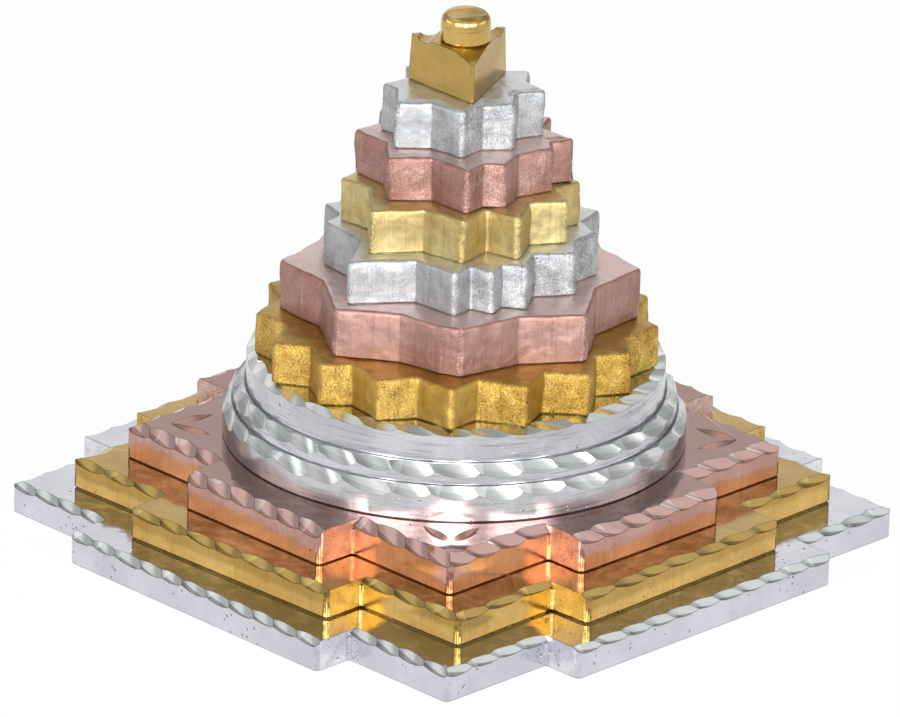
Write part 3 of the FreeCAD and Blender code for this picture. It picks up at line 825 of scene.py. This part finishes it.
def base_plate_upper(scoops):
    """The copper plate, with two leaf cuts at each corner."""
    plate = gated_plate("base_plate_upper", scoops, scoop_seeds["base_plate_upper"])
    root = plate_sizes["base_plate_upper"].half - leaf_root_inset
    place = Matrix.Translation((root, root, heights("base_plate_upper")[1]))
    mirror = Matrix(((0, 1, 0, 0), (1, 0, 0, 0), (0, 0, 1, 0), (0, 0, 0, 1)))
    leaves = []
    for quarter in range(4):
        for side in (Matrix.Identity(4), mirror):
            leaf = leaf_cutter()
            leaf.data.transform(turn_about_axis(90 * quarter) @ place @ side)
            if side == mirror:
                leaf.data.flip_normals()
            leaves.append(leaf)
    return combine(plate, leaves, "DIFFERENCE")


def ring_tier(scoops):
    """The turned silver tier: three steps, each with its row of scoops, and fine grooves at their feet."""
    low = heights("ring_tier")[0]
    steps = []
    for number, (radius, top, count, drop, inset, ridge, skew) in enumerate(ring_steps):
        step = stacked_solid("step", plain_rings(circle(radius, ring_sides), low, low + top))
        add_wires(step, [scoop_wire(at_height(circle(radius, 2 * ring_sides), low + top), closed=True)])
        apply_tree(step, scoops, pitch=2 * math.pi * radius / count, drop=drop, inset=inset, ridge=ridge,
                   skew=math.radians(skew), seed=scoop_seeds["ring_tier"] + number)
        steps.append(step)
    for number in (0, 1):
        foot, top = ring_steps[number + 1][0], low + ring_steps[number][1]
        rings = [at_height(circle(foot + outward * ring_groove, ring_sides), top + upward * ring_groove)
                 for outward, upward in ((0, -1), (1, 0), (3, 1))]
        groove = stacked_solid("groove", rings, circle(foot - ring_groove_lap, ring_sides))
        combine(steps[number], [groove], "DIFFERENCE")
    ring = combine(steps[0], steps[1:], "UNION")
    return combine(ring, [rod_hole(low, low + ring_steps[-1][1])], "DIFFERENCE")


def filing_tree():
    """Hand filing: a rim, marked 1 in the attribute rim, wavers sideways and sinks a little at its top."""
    tree, given, result = new_shape_tree("hand_filing", [
        number_input("Waver", filing_waver), number_input("Sink", filing_sink),
        number_input("Size", filing_size), number_input("Foot", 0.0), ("Seed", "NodeSocketInt", 1)])
    fine = add_node(tree, "GeometryNodeSubdivideMesh", {"Mesh": given["Geometry"], "Level": filing_levels})
    rim = add_node(tree, "GeometryNodeInputNamedAttribute", {"Name": "rim"}, data_type="FLOAT").outputs[0]
    place = position(tree)
    waves = add_node(tree, "ShaderNodeTexNoise", {
        "Vector": place, "W": given["Seed"], "Scale": over(tree, 1, given["Size"]), "Detail": 1.0},
        noise_dimensions="4D")
    waver = parted(tree, vector_maths(tree, "SUBTRACT", waves.outputs["Color"], (0.5, 0.5, 0.5)))
    sideways = times(tree, given["Waver"], noise_to_waver)
    upper = add_node(tree, "ShaderNodeMapRange", {
        "Value": minus(tree, parted(tree, place)["Z"], given["Foot"]),
        "From Min": filing_from, "From Max": filing_full}).outputs[0]
    sunk = times(tree, plus(tree, waver["Z"], sink_bias), given["Sink"], noise_to_sink)
    move = joined(tree, times(tree, waver["X"], sideways), times(tree, waver["Y"], sideways),
                  times(tree, maths(tree, "MINIMUM", sunk, 0), upper))
    filed = add_node(tree, "GeometryNodeSetPosition", {
        "Geometry": fine.outputs[0], "Offset": scaled(tree, move, rim)})
    return end_shape_tree(tree, given, result, filed.outputs[0])


def star_tier(node, filing):
    """A tier with a star or petal outline, its grain marked wall by wall."""
    reach, shares = tier_outlines[node]
    low, high = heights(node)
    tip = petal_tip_radius if node == "lotus_eight" else tip_radius
    points = [polar(turn, share * reach) for turn, share, grain in shares]
    corners, sides, tips = rounded_outline(points, tip, valley_radius)
    outline, stretches = split_sides(corners, longest_stretch)
    rings = edged_rings(outline, low, high, top_edge_radius, foot_break)
    wall_faces = (len(rings) - 1) * len(outline)
    rim_points = len(rings) * len(outline)
    rings.append([Vector((point.x * flat_top_share, point.y * flat_top_share, high)) for point in rings[-1]])
    tier = stacked_solid(node, rings, circle(rod_radius + rod_clearance, bore_sides))
    grain = tier.data.attributes.new("grain", "FLOAT", "FACE")
    for face in tier.data.polygons[:wall_faces]:
        wall = stretches[face.index % len(outline)]
        grain.data[face.index].value = max(shares[sides[wall]][2], tip_grain if tips[wall] else 0)
    rim = tier.data.attributes.new("rim", "FLOAT", "POINT")
    for number in range(rim_points):
        rim.data[number].value = 1
    return apply_tree(tier, filing, foot=low, seed=round(high / mm))


def laid_drum(radius, half_length, centre, turn, sides):
    """A drum on its side, its axis through a centre and level at a turn."""
    cutter = drum(radius, -half_length, half_length, sides)
    lay = up.rotation_difference(polar(turn, 1)).to_matrix().to_4x4()
    cutter.data.transform(Matrix.Translation(centre) @ lay)
    return cutter


def triangle_tier():
    """A three-cornered tier with leaning sides, a sliced front corner and scooped back corners."""
    reach, shares = tier_outlines["triangle_tier"]
    low, high = heights("triangle_tier")
    foot = [polar(turn, share * reach) for turn, share, grain in shares]
    head = [point * triangle_draft_share for point in foot]
    foot_outline = rounded_outline(foot, triangle_tip_radius, 0)[0]
    head_outline = rounded_outline(head, triangle_tip_radius, 0)[0]
    tier = stacked_solid("triangle_tier", [
        at_height(inset_outline(foot_outline, foot_break), low), at_height(foot_outline, low + foot_break),
        at_height(head_outline, high)])
    front, right_back, left_back = at_height(head, high)
    points = [front + (left_back - front).normalized() * triangle_slice_left,
              front - up * triangle_slice_drop,
              front + (right_back - front).normalized() * triangle_slice_right]
    middle = sum(points, Vector()) / 3
    wide = [middle + (point - middle) * triangle_slice_widening for point in points]
    normal = (wide[1] - wide[0]).cross(wide[2] - wide[0]).normalized()
    beyond = [point + normal * triangle_slice_thickness for point in wide]
    cutters = [stacked_solid("slice", [wide, beyond])]
    for turn, share, grain in shares[1:]:
        centre = polar(turn, share * reach * triangle_draft_share - triangle_scoop_setback,
                       high + triangle_scoop_radius - triangle_scoop_depth)
        cutters.append(laid_drum(triangle_scoop_radius, 2 * reach, centre, turn + 90, wide_hole_sides))
    combine(tier, cutters, "DIFFERENCE")
    return combine(tier, [rod_hole(low, high)], "DIFFERENCE")


def bindu():
    """The round drop at the summit, with a rounded top edge and one nick; its turning marks are in its
    material.
    """
    low, high = heights("bindu")
    radius = (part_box("bindu")[1].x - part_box("bindu")[0].x) / 2
    profile = [(radius - foot_break, low), (radius, low + foot_break)]
    profile += [(radius - inset, high - drop)
                for inset, drop in rounded_edge(bindu_edge_radius, bindu_edge_steps)]
    drop = lathe("bindu", profile)
    centre = polar(0, bindu_nick_setback, high + bindu_nick_radius - bindu_nick_depth)
    nick = laid_drum(bindu_nick_radius, bindu_nick_length_share * radius, centre, bindu_nick_turn,
                     bindu_nick_sides)
    thread = drum(rod_radius + thread_clearance, low - overrun, low + bindu_thread_depth)
    return combine(drop, [nick, thread], "DIFFERENCE")


def thread_tree():
    """A screw thread: the wall of a rod sinks by its turn and its height."""
    tree, given, result = new_shape_tree("screw_thread", [
        number_input("Pitch", thread_pitch), number_input("Depth", thread_depth),
        number_input("Radius", rod_radius)])
    place = parted(tree, position(tree))
    turn = over(tree, maths(tree, "ARCTAN2", place["Y"], place["X"]), 2 * math.pi)
    phase = maths(tree, "FRACT", minus(tree, over(tree, place["Z"], given["Pitch"]), turn))
    height = maths(tree, "ABSOLUTE", minus(tree, times(tree, phase, 2), 1))
    crest = maths(tree, "SMOOTH_MIN", times(tree, height, thread_crest_steepness), 1, thread_crest_softness)
    sunk = times(tree, minus(tree, 1, crest), given["Depth"])
    level = joined(tree, place["X"], place["Y"])
    on_wall = add_node(tree, "FunctionNodeCompare", {
        0: vector_maths(tree, "LENGTH", level), 1: times(tree, given["Radius"], thread_wall_share)},
        data_type="FLOAT", operation="GREATER_THAN")
    cut = add_node(tree, "GeometryNodeSetPosition", {
        "Geometry": given["Geometry"], "Selection": on_wall.outputs[0],
        "Offset": scaled(tree, vector_maths(tree, "NORMALIZE", level), times(tree, sunk, -1))})
    return end_shape_tree(tree, given, result, cut.outputs[0])


def through_rod(threads):
    """The rod, with chamfered ends and rings of points close enough for the thread."""
    low, high = heights("through_rod")
    length = high - low - 2 * rod_chamfer
    steps = round(length / (thread_pitch / thread_steps))
    profile = [(rod_radius - rod_chamfer, low)]
    profile += [(rod_radius, low + rod_chamfer + length * step / steps) for step in range(steps + 1)]
    profile.append((rod_radius - rod_chamfer, high))
    return apply_tree(lathe("through_rod", profile, rod_sides), threads)


def flat_washer():
    low, high = heights("flat_washer")
    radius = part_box("flat_washer")[1].x
    profile = [(radius - washer_break, low), (radius, low + washer_break), (radius, high - washer_break),
               (radius - washer_break, high)]
    return lathe("flat_washer", profile, wide_hole_sides, circle(rod_radius + rod_clearance, bore_sides))


def lock_washer():
    """A washer with teeth round its rim."""
    low, high = heights("lock_washer")
    profile = [(lock_washer_radius, low), (lock_washer_radius, high)]
    washer = lathe("lock_washer", profile, lock_washer_sides, circle(rod_radius + rod_clearance, bore_sides))
    half, root = lock_washer_slot_width / 2, lock_washer_radius - lock_washer_tooth_depth
    outline = rectangle(-half, half, root, lock_washer_radius + overrun)
    slots = []
    for index in range(lock_washer_teeth):
        slot = block("slot", outline, low - overrun, high + overrun)
        slot.data.transform(turn_about_axis(360 * index / lock_washer_teeth))
        slots.append(slot)
    return combine(washer, slots, "DIFFERENCE")


def hex_nut():
    """A thin nut with chamfered lower corners."""
    low, high = heights("hex_nut")
    flat = nut_across_flats / 2
    corner_radius = flat / math.cos(math.pi / nut_sides)
    turns = [2 * math.pi * index / nut_sides for index in range(nut_sides)]
    corners = [Vector((corner_radius * math.cos(turn), corner_radius * math.sin(turn), 0)) for turn in turns]
    nut = block("hex_nut", corners, low, high)
    rise = nut_chamfer_reach * math.tan(math.radians(nut_chamfer_angle))
    envelope = lathe("envelope", [(flat, low - nut_chamfer_lap), (flat + nut_chamfer_reach, low + rise)])
    combine(nut, [envelope], "INTERSECT")
    return combine(nut, [drum(rod_radius + thread_clearance, low - overrun, high + overrun)], "DIFFERENCE")


# Shader node groups

def noise(tree, vector, size, detail=2.0, roughness=0.5, distortion=0.0):
    """Noise whose lumps are about one size across."""
    return add_node(tree, "ShaderNodeTexNoise", {
        "Vector": vector, "Scale": over(tree, 1, size), "Detail": detail, "Roughness": roughness,
        "Distortion": distortion}).outputs["Fac"]


def between(tree, value, low, high):
    """0 below low, 1 above high, and smooth between."""
    return add_node(tree, "ShaderNodeMapRange", {"Value": value, "From Min": low, "From Max": high},
                    interpolation_type="SMOOTHSTEP").outputs["Result"]


def outside(tree, value, low, high):
    """1 below low, 0 above high, and smooth between."""
    return minus(tree, 1, between(tree, value, low, high))


def mixed(tree, share, first, second):
    """A colour from first to second by a share."""
    return add_node(tree, "ShaderNodeMix", {0: share, 6: first, 7: second}, data_type="RGBA").outputs[2]


def new_group(name, inputs, outputs):
    """An empty shader node group, which reads the place on the piece as Vector, and puts out masks."""
    inputs = [("Vector", "NodeSocketVector", None), *inputs]
    return new_tree(name, "ShaderNodeTree", inputs, [(output, "NodeSocketFloat") for output in outputs])


def end_group(tree, result, **outputs):
    """Links what a shader node group puts out."""
    for name, socket in outputs.items():
        tree.links.new(socket, result[name])
    return tree


def cast_grain_group():
    """The fine grain of a cast wall: a bumpy height, dark pores and bright specks of painted sparkle."""
    tree, given, result = new_group(
        "cast_grain", [number_input("Size", plain_grain_size)], ["Height", "Pores", "Specks"])
    fine = noise(tree, given["Vector"], given["Size"], 3.0, 0.6)
    coarse = noise(tree, given["Vector"], times(tree, given["Size"], 3.1))
    patches = minus(tree, noise(tree, given["Vector"], times(tree, given["Size"], 9)), 0.5)
    worn_and_shaded = plus(tree, fine, times(tree, patches, 0.5))
    return end_group(
        tree, result, Height=plus(tree, times(tree, fine, 0.7), times(tree, coarse, 0.3)),
        Pores=outside(tree, worn_and_shaded, 0.36, 0.44), Specks=between(tree, worn_and_shaded, 0.56, 0.64))


def polish_marks_group():
    """Fine lines left by a polishing wheel, along one direction, over broad streaks and slow waves."""
    tree, given, result = new_group("polish_marks", [
        number_input("Width", mark_width), ("Stretch", "NodeSocketVector", marks_upright),
        number_input("Wave", wave_size)], ["Lines", "Streaks", "Waves"])
    stretched = vector_maths(tree, "MULTIPLY", given["Vector"], given["Stretch"])
    broad = noise(tree, stretched, times(tree, given["Width"], 4), 3.0, 0.6)
    return end_group(
        tree, result, Lines=noise(tree, stretched, given["Width"], 3.0, 0.65),
        Streaks=between(tree, broad, 0.48, 0.72),
        Waves=noise(tree, given["Vector"], given["Wave"], 1.5, 0.45, 0.3))


def pin_pits_group():
    """Sparse small pits, gathered in patches."""
    tree, given, result = new_group(
        "pin_pits", [number_input("Size", pit_spacing), number_input("Share", 0.3)], ["Pits"])
    cells = add_node(tree, "ShaderNodeTexVoronoi", {
        "Vector": given["Vector"], "Scale": over(tree, 1, given["Size"])}).outputs
    chances = add_node(tree, "ShaderNodeSeparateColor", {0: cells["Color"]}).outputs
    patches = noise(tree, given["Vector"], times(tree, given["Size"], 9))
    wanted = times(tree, given["Share"], between(tree, patches, 0.42, 0.62))
    reach = times(tree, chances[1], 0.22)
    spot = outside(tree, cells["Distance"], reach, plus(tree, reach, 0.1))
    return end_group(tree, result, Pits=times(tree, spot, maths(tree, "LESS_THAN", chances[0], wanted)))


def edge_shade_group():
    """A mask for painted shade lines where the surface turns sharply, as at the ridges between chisel scoops.
    """
    tree, given, result = new_tree(
        "painted_edge_shade", "ShaderNodeTree", [number_input("Width", edge_shade_width)],
        [("Lines", "NodeSocketFloat")])
    rounded = add_node(tree, "ShaderNodeBevel", {"Radius": given["Width"]}, samples=4).outputs[0]
    plain = add_node(tree, "ShaderNodeNewGeometry").outputs["Normal"]
    turned = minus(tree, 1, vector_maths(tree, "DOT_PRODUCT", rounded, plain))
    return end_group(tree, result, Lines=between(tree, turned, 0.003, 0.014))


def two_tones_group():
    """How far the second of a metal's two tones shows: slow patches with a finer mottle."""
    tree, given, result = new_group("two_tones", [number_input("Patch", tone_patch)], ["Share"])
    slow = noise(tree, given["Vector"], given["Patch"])
    fine = noise(tree, given["Vector"], times(tree, given["Patch"], 0.12))
    blend = plus(tree, times(tree, slow, 0.75), times(tree, fine, 0.25))
    return end_group(tree, result, Share=between(tree, blend, 0.35, 0.65))


# Metals

def srgb(red, green, blue):
    """A colour as picked from a screen, in Blender's own light values."""
    values = [channel / 255 for channel in (red, green, blue)]
    return tuple(((v + 0.055) / 1.055) ** 2.4 if v > 0.04 else v / 12.92 for v in values) + (1,)


def attribute(tree, name):
    return add_node(tree, "ShaderNodeAttribute", attribute_name=name).outputs["Fac"]


def placed(tree, groups, name, **values):
    """What a shader node group puts out in a material, from the material's own values."""
    inputs = {key.capitalize(): value for key, value in values.items()}
    return add_node(tree, "ShaderNodeGroup", inputs, node_tree=groups[name]).outputs


def new_metal(name):
    """A material that is all metal: its tree, its shader's inputs and the place on the piece."""
    material = bpy.data.materials.new(name)
    material.use_nodes = True
    tree = material.node_tree
    shader = tree.nodes["Principled BSDF"].inputs
    shader["Metallic"].default_value = 1.0
    return material, tree, shader, add_node(tree, "ShaderNodeTexCoord").outputs["Object"]


def metal_masks(tree, groups, place, finish):
    """Where a metal is a top, a wall or a scoop, and its grain, polish marks and pits."""
    normal = parted(tree, add_node(tree, "ShaderNodeNewGeometry").outputs["True Normal"])
    cut = attribute(tree, "cut")
    pits = placed(tree, groups, "pin_pits", vector=place, share=finish.pits)["Pits"]
    return SimpleNamespace(
        normal=normal, top=between(tree, normal["Z"], 0.9, 0.99),
        wall=outside(tree, maths(tree, "ABSOLUTE", normal["Z"]), 0.1, 0.3), cut=cut,
        grain=maths(tree, "MAXIMUM", attribute(tree, "grain"), finish.least_grain),
        cast=placed(tree, groups, "cast_grain", vector=place, size=finish.grain_size),
        marks=placed(tree, groups, "polish_marks", vector=place, stretch=finish.stretch, wave=finish.wave),
        pitted=times(tree, pits, minus(tree, 1, cut)))


def painted_scoop_light_and_shade(tree, place, finish):
    """A scoop's painted light and painted shade parts, with a drifting slant between them, and painted glints
    at some corners.
    """
    sweep, rise = attribute(tree, "sweep"), attribute(tree, "rise")
    drift = times(tree, minus(tree, noise(tree, place, scoop_shade_patch, 1.0), 0.5), scoop_shade_drift)
    slope = plus(tree, plus(tree, rise, times(tree, sweep, scoop_shade_by_sweep)), drift)
    painted_lit = between(tree, slope, scoop_shade_place - scoop_shade_softness, scoop_shade_place + scoop_shade_softness)
    corner = minus(tree, times(tree, plus(tree, rise, 0.7), 0.4), plus(tree, sweep, 0.8))
    struck = between(tree, noise(tree, place, painted_glint_patch, 1.0), 0.5, 0.54)
    painted_glint = times(tree, between(tree, corner, -0.06, 0.04), struck, finish.glints)
    return mixed(tree, painted_glint, mixed(tree, painted_lit, finish.cut_shade, finish.cut_tone), finish.speck_tone)


def metal_colour(tree, groups, place, finish, masks):
    """The metal's two tones, and over them its streaks, darker corners of wear and painted shade, painted
    light on grainy sides and on tops, painted shade on darker tops, the scoops' painted light and shade,
    painted shade lines at sharp edges, pores, painted sparkle specks and pits.
    """
    share = placed(tree, groups, "two_tones", vector=place)["Share"]
    colour = mixed(tree, share, finish.tone, finish.other_tone)
    # darker patches on the rounded upright corners: wear and painted shade
    diagonal = maths(tree, "ABSOLUTE", times(tree, masks.normal["X"], masks.normal["Y"]))
    worn_and_shaded = times(tree, between(tree, diagonal, 0.12, 0.35),
                 between(tree, noise(tree, place, wear_and_shade_patch), 0.36, 0.6))
    layers = [
        (times(tree, masks.marks["Streaks"], finish.streaks), finish.line_tone),
        (times(tree, worn_and_shaded, finish.corner_wear), finish.line_tone),
        # painted light on walls marked grainy, as the gates' side walls
        (times(tree, masks.grain, finish.side_light), finish.speck_tone),
        # painted light on tops, and painted shade on the copper plate's darker tops
        (times(tree, masks.top, finish.top_share), finish.top_tone or finish.speck_tone)]
    if finish.cut_tone:
        layers.append((masks.cut, painted_scoop_light_and_shade(tree, place, finish)))
    # painted shade lines along sharp edges and creases
    edge_shade = placed(tree, groups, "painted_edge_shade")["Lines"]
    layers += [
        (times(tree, edge_shade, finish.line_strength), finish.line_tone),
        (times(tree, masks.cast["Pores"], masks.grain, 0.65), finish.pore_tone),
        # painted sparkle on grainy walls
        (times(tree, masks.cast["Specks"], masks.grain, 0.5), finish.speck_tone),
        (times(tree, masks.pitted, 0.75), finish.pore_tone)]
    for mask, layer in layers:
        colour = mixed(tree, mask, colour, layer)
    return colour


def metal_roughness(tree, finish, masks):
    """Softer walls, brighter tops and scoops, and rougher marks, grain and pits."""
    rough = finish.wall_roughness
    for mask, value in ((masks.top, finish.top_roughness), (masks.cut, finish.cut_roughness)):
        rough = add_node(tree, "ShaderNodeMix", {0: mask, 2: rough, 3: value}).outputs[0]
    for mask, strength in ((masks.marks["Lines"], 0.06), (masks.grain, 0.2), (masks.pitted, 0.3)):
        rough = plus(tree, rough, times(tree, mask, strength))
    return rough


def metal_normal(tree, finish, masks):
    """A wall that leans a little, with waves, polish marks, grain and pits."""
    rising = joined(tree, z=times(tree, masks.wall, finish.lean))
    normal = vector_maths(tree, "NORMALIZE", vector_maths(
        tree, "ADD", add_node(tree, "ShaderNodeNewGeometry").outputs["Normal"], rising))
    rugged = minus(tree, times(tree, masks.cast["Height"], masks.grain), times(tree, masks.pitted, 0.5))
    for height, distance, strength in (
            (masks.marks["Waves"], wave_height, finish.waviness),
            (masks.marks["Lines"], mark_depth, plus(tree, 0.1, times(tree, masks.wall, 0.2))),
            (rugged, grain_height, 0.8)):
        normal = add_node(tree, "ShaderNodeBump", {
            "Height": height, "Distance": distance, "Strength": strength, "Normal": normal}).outputs[0]
    return normal


def yantra_metal(name, groups, **changes):
    """A plated, polished metal: bright tops and scoops, softer walls, cast grain where it is marked."""
    values = {**plain_finish, **changes}
    for key, value in values.items():
        if key.endswith(("tone", "shade")) and value:
            values[key] = srgb(*value)
    finish = SimpleNamespace(**values)
    material, tree, shader, place = new_metal(name)
    masks = metal_masks(tree, groups, place, finish)
    tree.links.new(metal_colour(tree, groups, place, finish, masks), shader["Base Color"])
    tree.links.new(metal_roughness(tree, finish, masks), shader["Roughness"])
    tree.links.new(metal_normal(tree, finish, masks), shader["Normal"])
    return material


def zinc_steel(groups):
    """The zinc-plated rod and fastenings under the plate."""
    material, tree, shader, place = new_metal("zinc_steel")
    share = placed(tree, groups, "two_tones", vector=place, patch=steel_tone_patch)["Share"]
    tree.links.new(mixed(tree, share, srgb(196, 198, 204), srgb(168, 170, 176)), shader["Base Color"])
    lines = placed(tree, groups, "polish_marks", vector=place, stretch=(1, 1, 1))["Lines"]
    tree.links.new(plus(tree, 0.26, times(tree, lines, 0.14)), shader["Roughness"])
    bump = add_node(tree, "ShaderNodeBump", {"Height": lines, "Distance": mark_depth, "Strength": 0.4})
    tree.links.new(bump.outputs[0], shader["Normal"])
    return material


# Stage, lamps and camera

def direction(azimuth, elevation):
    """The direction from the object at an azimuth and an elevation, as the camera's are counted."""
    turn, rise = math.radians(azimuth), math.radians(elevation)
    return Vector((math.sin(turn) * math.cos(rise), -math.cos(turn) * math.cos(rise), math.sin(rise)))


def emptied(owner):
    """The node tree of a world or a material, with nothing in it."""
    owner.use_nodes = True
    owner.node_tree.nodes.clear()
    return owner.node_tree


def grey(value):
    return value, value, value, 1


def seen_or_mirrored(tree):
    """1 for rays from the camera and for rays off or through the object."""
    path = add_node(tree, "ShaderNodeLightPath").outputs
    share = plus(tree, path["Is Camera Ray"], path["Is Glossy Ray"])
    return maths(tree, "ADD", share, path["Is Transmission Ray"], clamp=True)


def studio_world():
    """A white room, greyer overhead and round both shoulders, where it is seen or mirrored, and softer light
    elsewhere."""
    world = bpy.data.worlds.new("studio")
    bpy.context.scene.world = world
    tree = emptied(world)
    heading = add_node(tree, "ShaderNodeTexCoord").outputs["Generated"]
    height = parted(tree, heading)["Z"]
    level = vector_maths(tree, "NORMALIZE", vector_maths(tree, "MULTIPLY", heading, (1, 1, 0)))
    forward = vector_maths(tree, "DOT_PRODUCT", level, direction(camera_azimuth, 0))
    low = outside(tree, height, 0.55, 0.7)
    behind = times(tree, outside(tree, forward, -0.35, -0.1), between(tree, forward, -0.96, -0.86), low)
    shoulder = times(tree, outside(tree, forward, 0.45, 0.65), between(tree, forward, -0.5, -0.2), low,
                     between(tree, height, 0.41, 0.46))
    room = grey(1)
    for share, shade_of_room in (
            (between(tree, height, 0.84, 0.95), 0.5), (behind, 0.55), (shoulder, 0.62)):
        room = mixed(tree, share, room, grey(shade_of_room))
    seen = add_node(tree, "ShaderNodeBackground", {"Color": room, "Strength": 1.0})
    light = add_node(tree, "ShaderNodeBackground", {"Color": (0.95, 0.97, 1, 1), "Strength": 0.5})
    mix = add_node(tree, "ShaderNodeMixShader", {
        0: seen_or_mirrored(tree), 1: light.outputs[0], 2: seen.outputs[0]})
    add_node(tree, "ShaderNodeOutputWorld", {"Surface": mix.outputs[0]})


def studio_floor():
    """A wide white floor that keeps the object's shadow, and is clear from below to show the underside."""
    corners = at_height(rectangle(-floor_half, floor_half, -floor_half, floor_half), -floor_drop)
    floor = mesh_object("floor", corners, [(0, 1, 2, 3)])
    material = bpy.data.materials.new("white_floor")
    tree = emptied(material)
    paint = add_node(tree, "ShaderNodeBsdfDiffuse", {"Color": grey(0.9)})
    glow = add_node(tree, "ShaderNodeEmission", {"Color": grey(1), "Strength": 1.0})
    above = add_node(tree, "ShaderNodeMixShader", {
        0: times(tree, seen_or_mirrored(tree), floor_glow_share), 1: paint.outputs[0], 2: glow.outputs[0]})
    below = add_node(tree, "ShaderNodeBsdfTransparent")
    sided = add_node(tree, "ShaderNodeMixShader", {
        0: add_node(tree, "ShaderNodeNewGeometry").outputs["Backfacing"],
        1: above.outputs[0], 2: below.outputs[0]})
    add_node(tree, "ShaderNodeOutputMaterial", {"Surface": sided.outputs[0]})
    floor.data.materials.append(material)


def softbox(name, azimuth, elevation, distance, width, height, power):
    """A large soft lamp that looks at the object."""
    lamp = bpy.data.lights.new(name, "AREA")
    lamp.shape = "RECTANGLE"
    lamp.size = width
    lamp.size_y = height
    lamp.energy = power
    obj = new_object(name, lamp)
    obj.location = direction(azimuth, elevation) * distance
    obj.rotation_euler = obj.location.to_track_quat("Z", "Y").to_euler()


def photo_camera():
    """The camera of the photograph, with its small roll."""
    back = direction(camera_azimuth, camera_elevation)
    level_right = direction(camera_azimuth + 90, 0)
    level_up = back.cross(level_right)
    roll = math.radians(camera_roll)
    right = level_right * math.cos(roll) + level_up * math.sin(roll)
    upward = level_up * math.cos(roll) - level_right * math.sin(roll)
    place = back * camera_distance + right * camera_shift_right + upward * camera_shift_up
    data = bpy.data.cameras.new("camera")
    data.sensor_width = sensor_width_mm
    data.lens = focal_length_in_pixels / image_width * sensor_width_mm
    data.clip_end = camera_sight
    obj = new_object("camera", data)
    obj.matrix_world = Matrix.Translation(place) @ Matrix((right, upward, back)).transposed().to_4x4()
    bpy.context.scene.camera = obj


# The object

groups = {tree.name: tree for tree in (
    cast_grain_group(), polish_marks_group(), pin_pits_group(), edge_shade_group(), two_tones_group())}
metals = {name: yantra_metal(name, groups, **finish) for name, finish in metal_finishes.items()}
metals["steel"] = zinc_steel(groups)
scoops, threads, filing = scoop_row_tree(), thread_tree(), filing_tree()

finish_piece(shade(base_plate_lower(scoops)), "base_plate_lower", metals["silver"])
finish_piece(shade(base_plate_middle(scoops)), "base_plate_middle", metals["brass"])
finish_piece(shade(base_plate_upper(scoops)), "base_plate_upper", metals["copper"])
finish_piece(shade(ring_tier(scoops), ring_sharp_angle), "ring_tier", metals["turned_silver"])
for node, slot, metal in (
        ("lotus_sixteen", "brass", "cast_brass"), ("lotus_eight", "copper", "cast_copper"),
        ("star_fourteen", "silver", "cast_silver"), ("star_ten_outer", "brass", "pale_brass"),
        ("star_ten_inner", "copper", "cast_copper"), ("star_eight", "silver", "cast_silver")):
    finish_piece(shade(star_tier(node, filing), star_sharp_angle), node, metals[metal])
finish_piece(shade(triangle_tier()), "triangle_tier", metals["summit_brass"])
finish_piece(shade(bindu()), "bindu", metals["turned_brass"])
finish_piece(shade(through_rod(threads), rod_sharp_angle), "through_rod", metals["steel"])
finish_piece(shade(flat_washer()), "flat_washer", metals["steel"])
finish_piece(shade(lock_washer()), "lock_washer", metals["steel"])
finish_piece(shade(hex_nut()), "hex_nut", metals["steel"])

studio_world()
studio_floor()
for name, (azimuth, elevation, distance, width, height, power) in lamps.items():
    softbox(name, camera_azimuth + azimuth, elevation, distance, width, height, power)
photo_camera()
bpy.context.scene.view_settings.view_transform = "Standard"
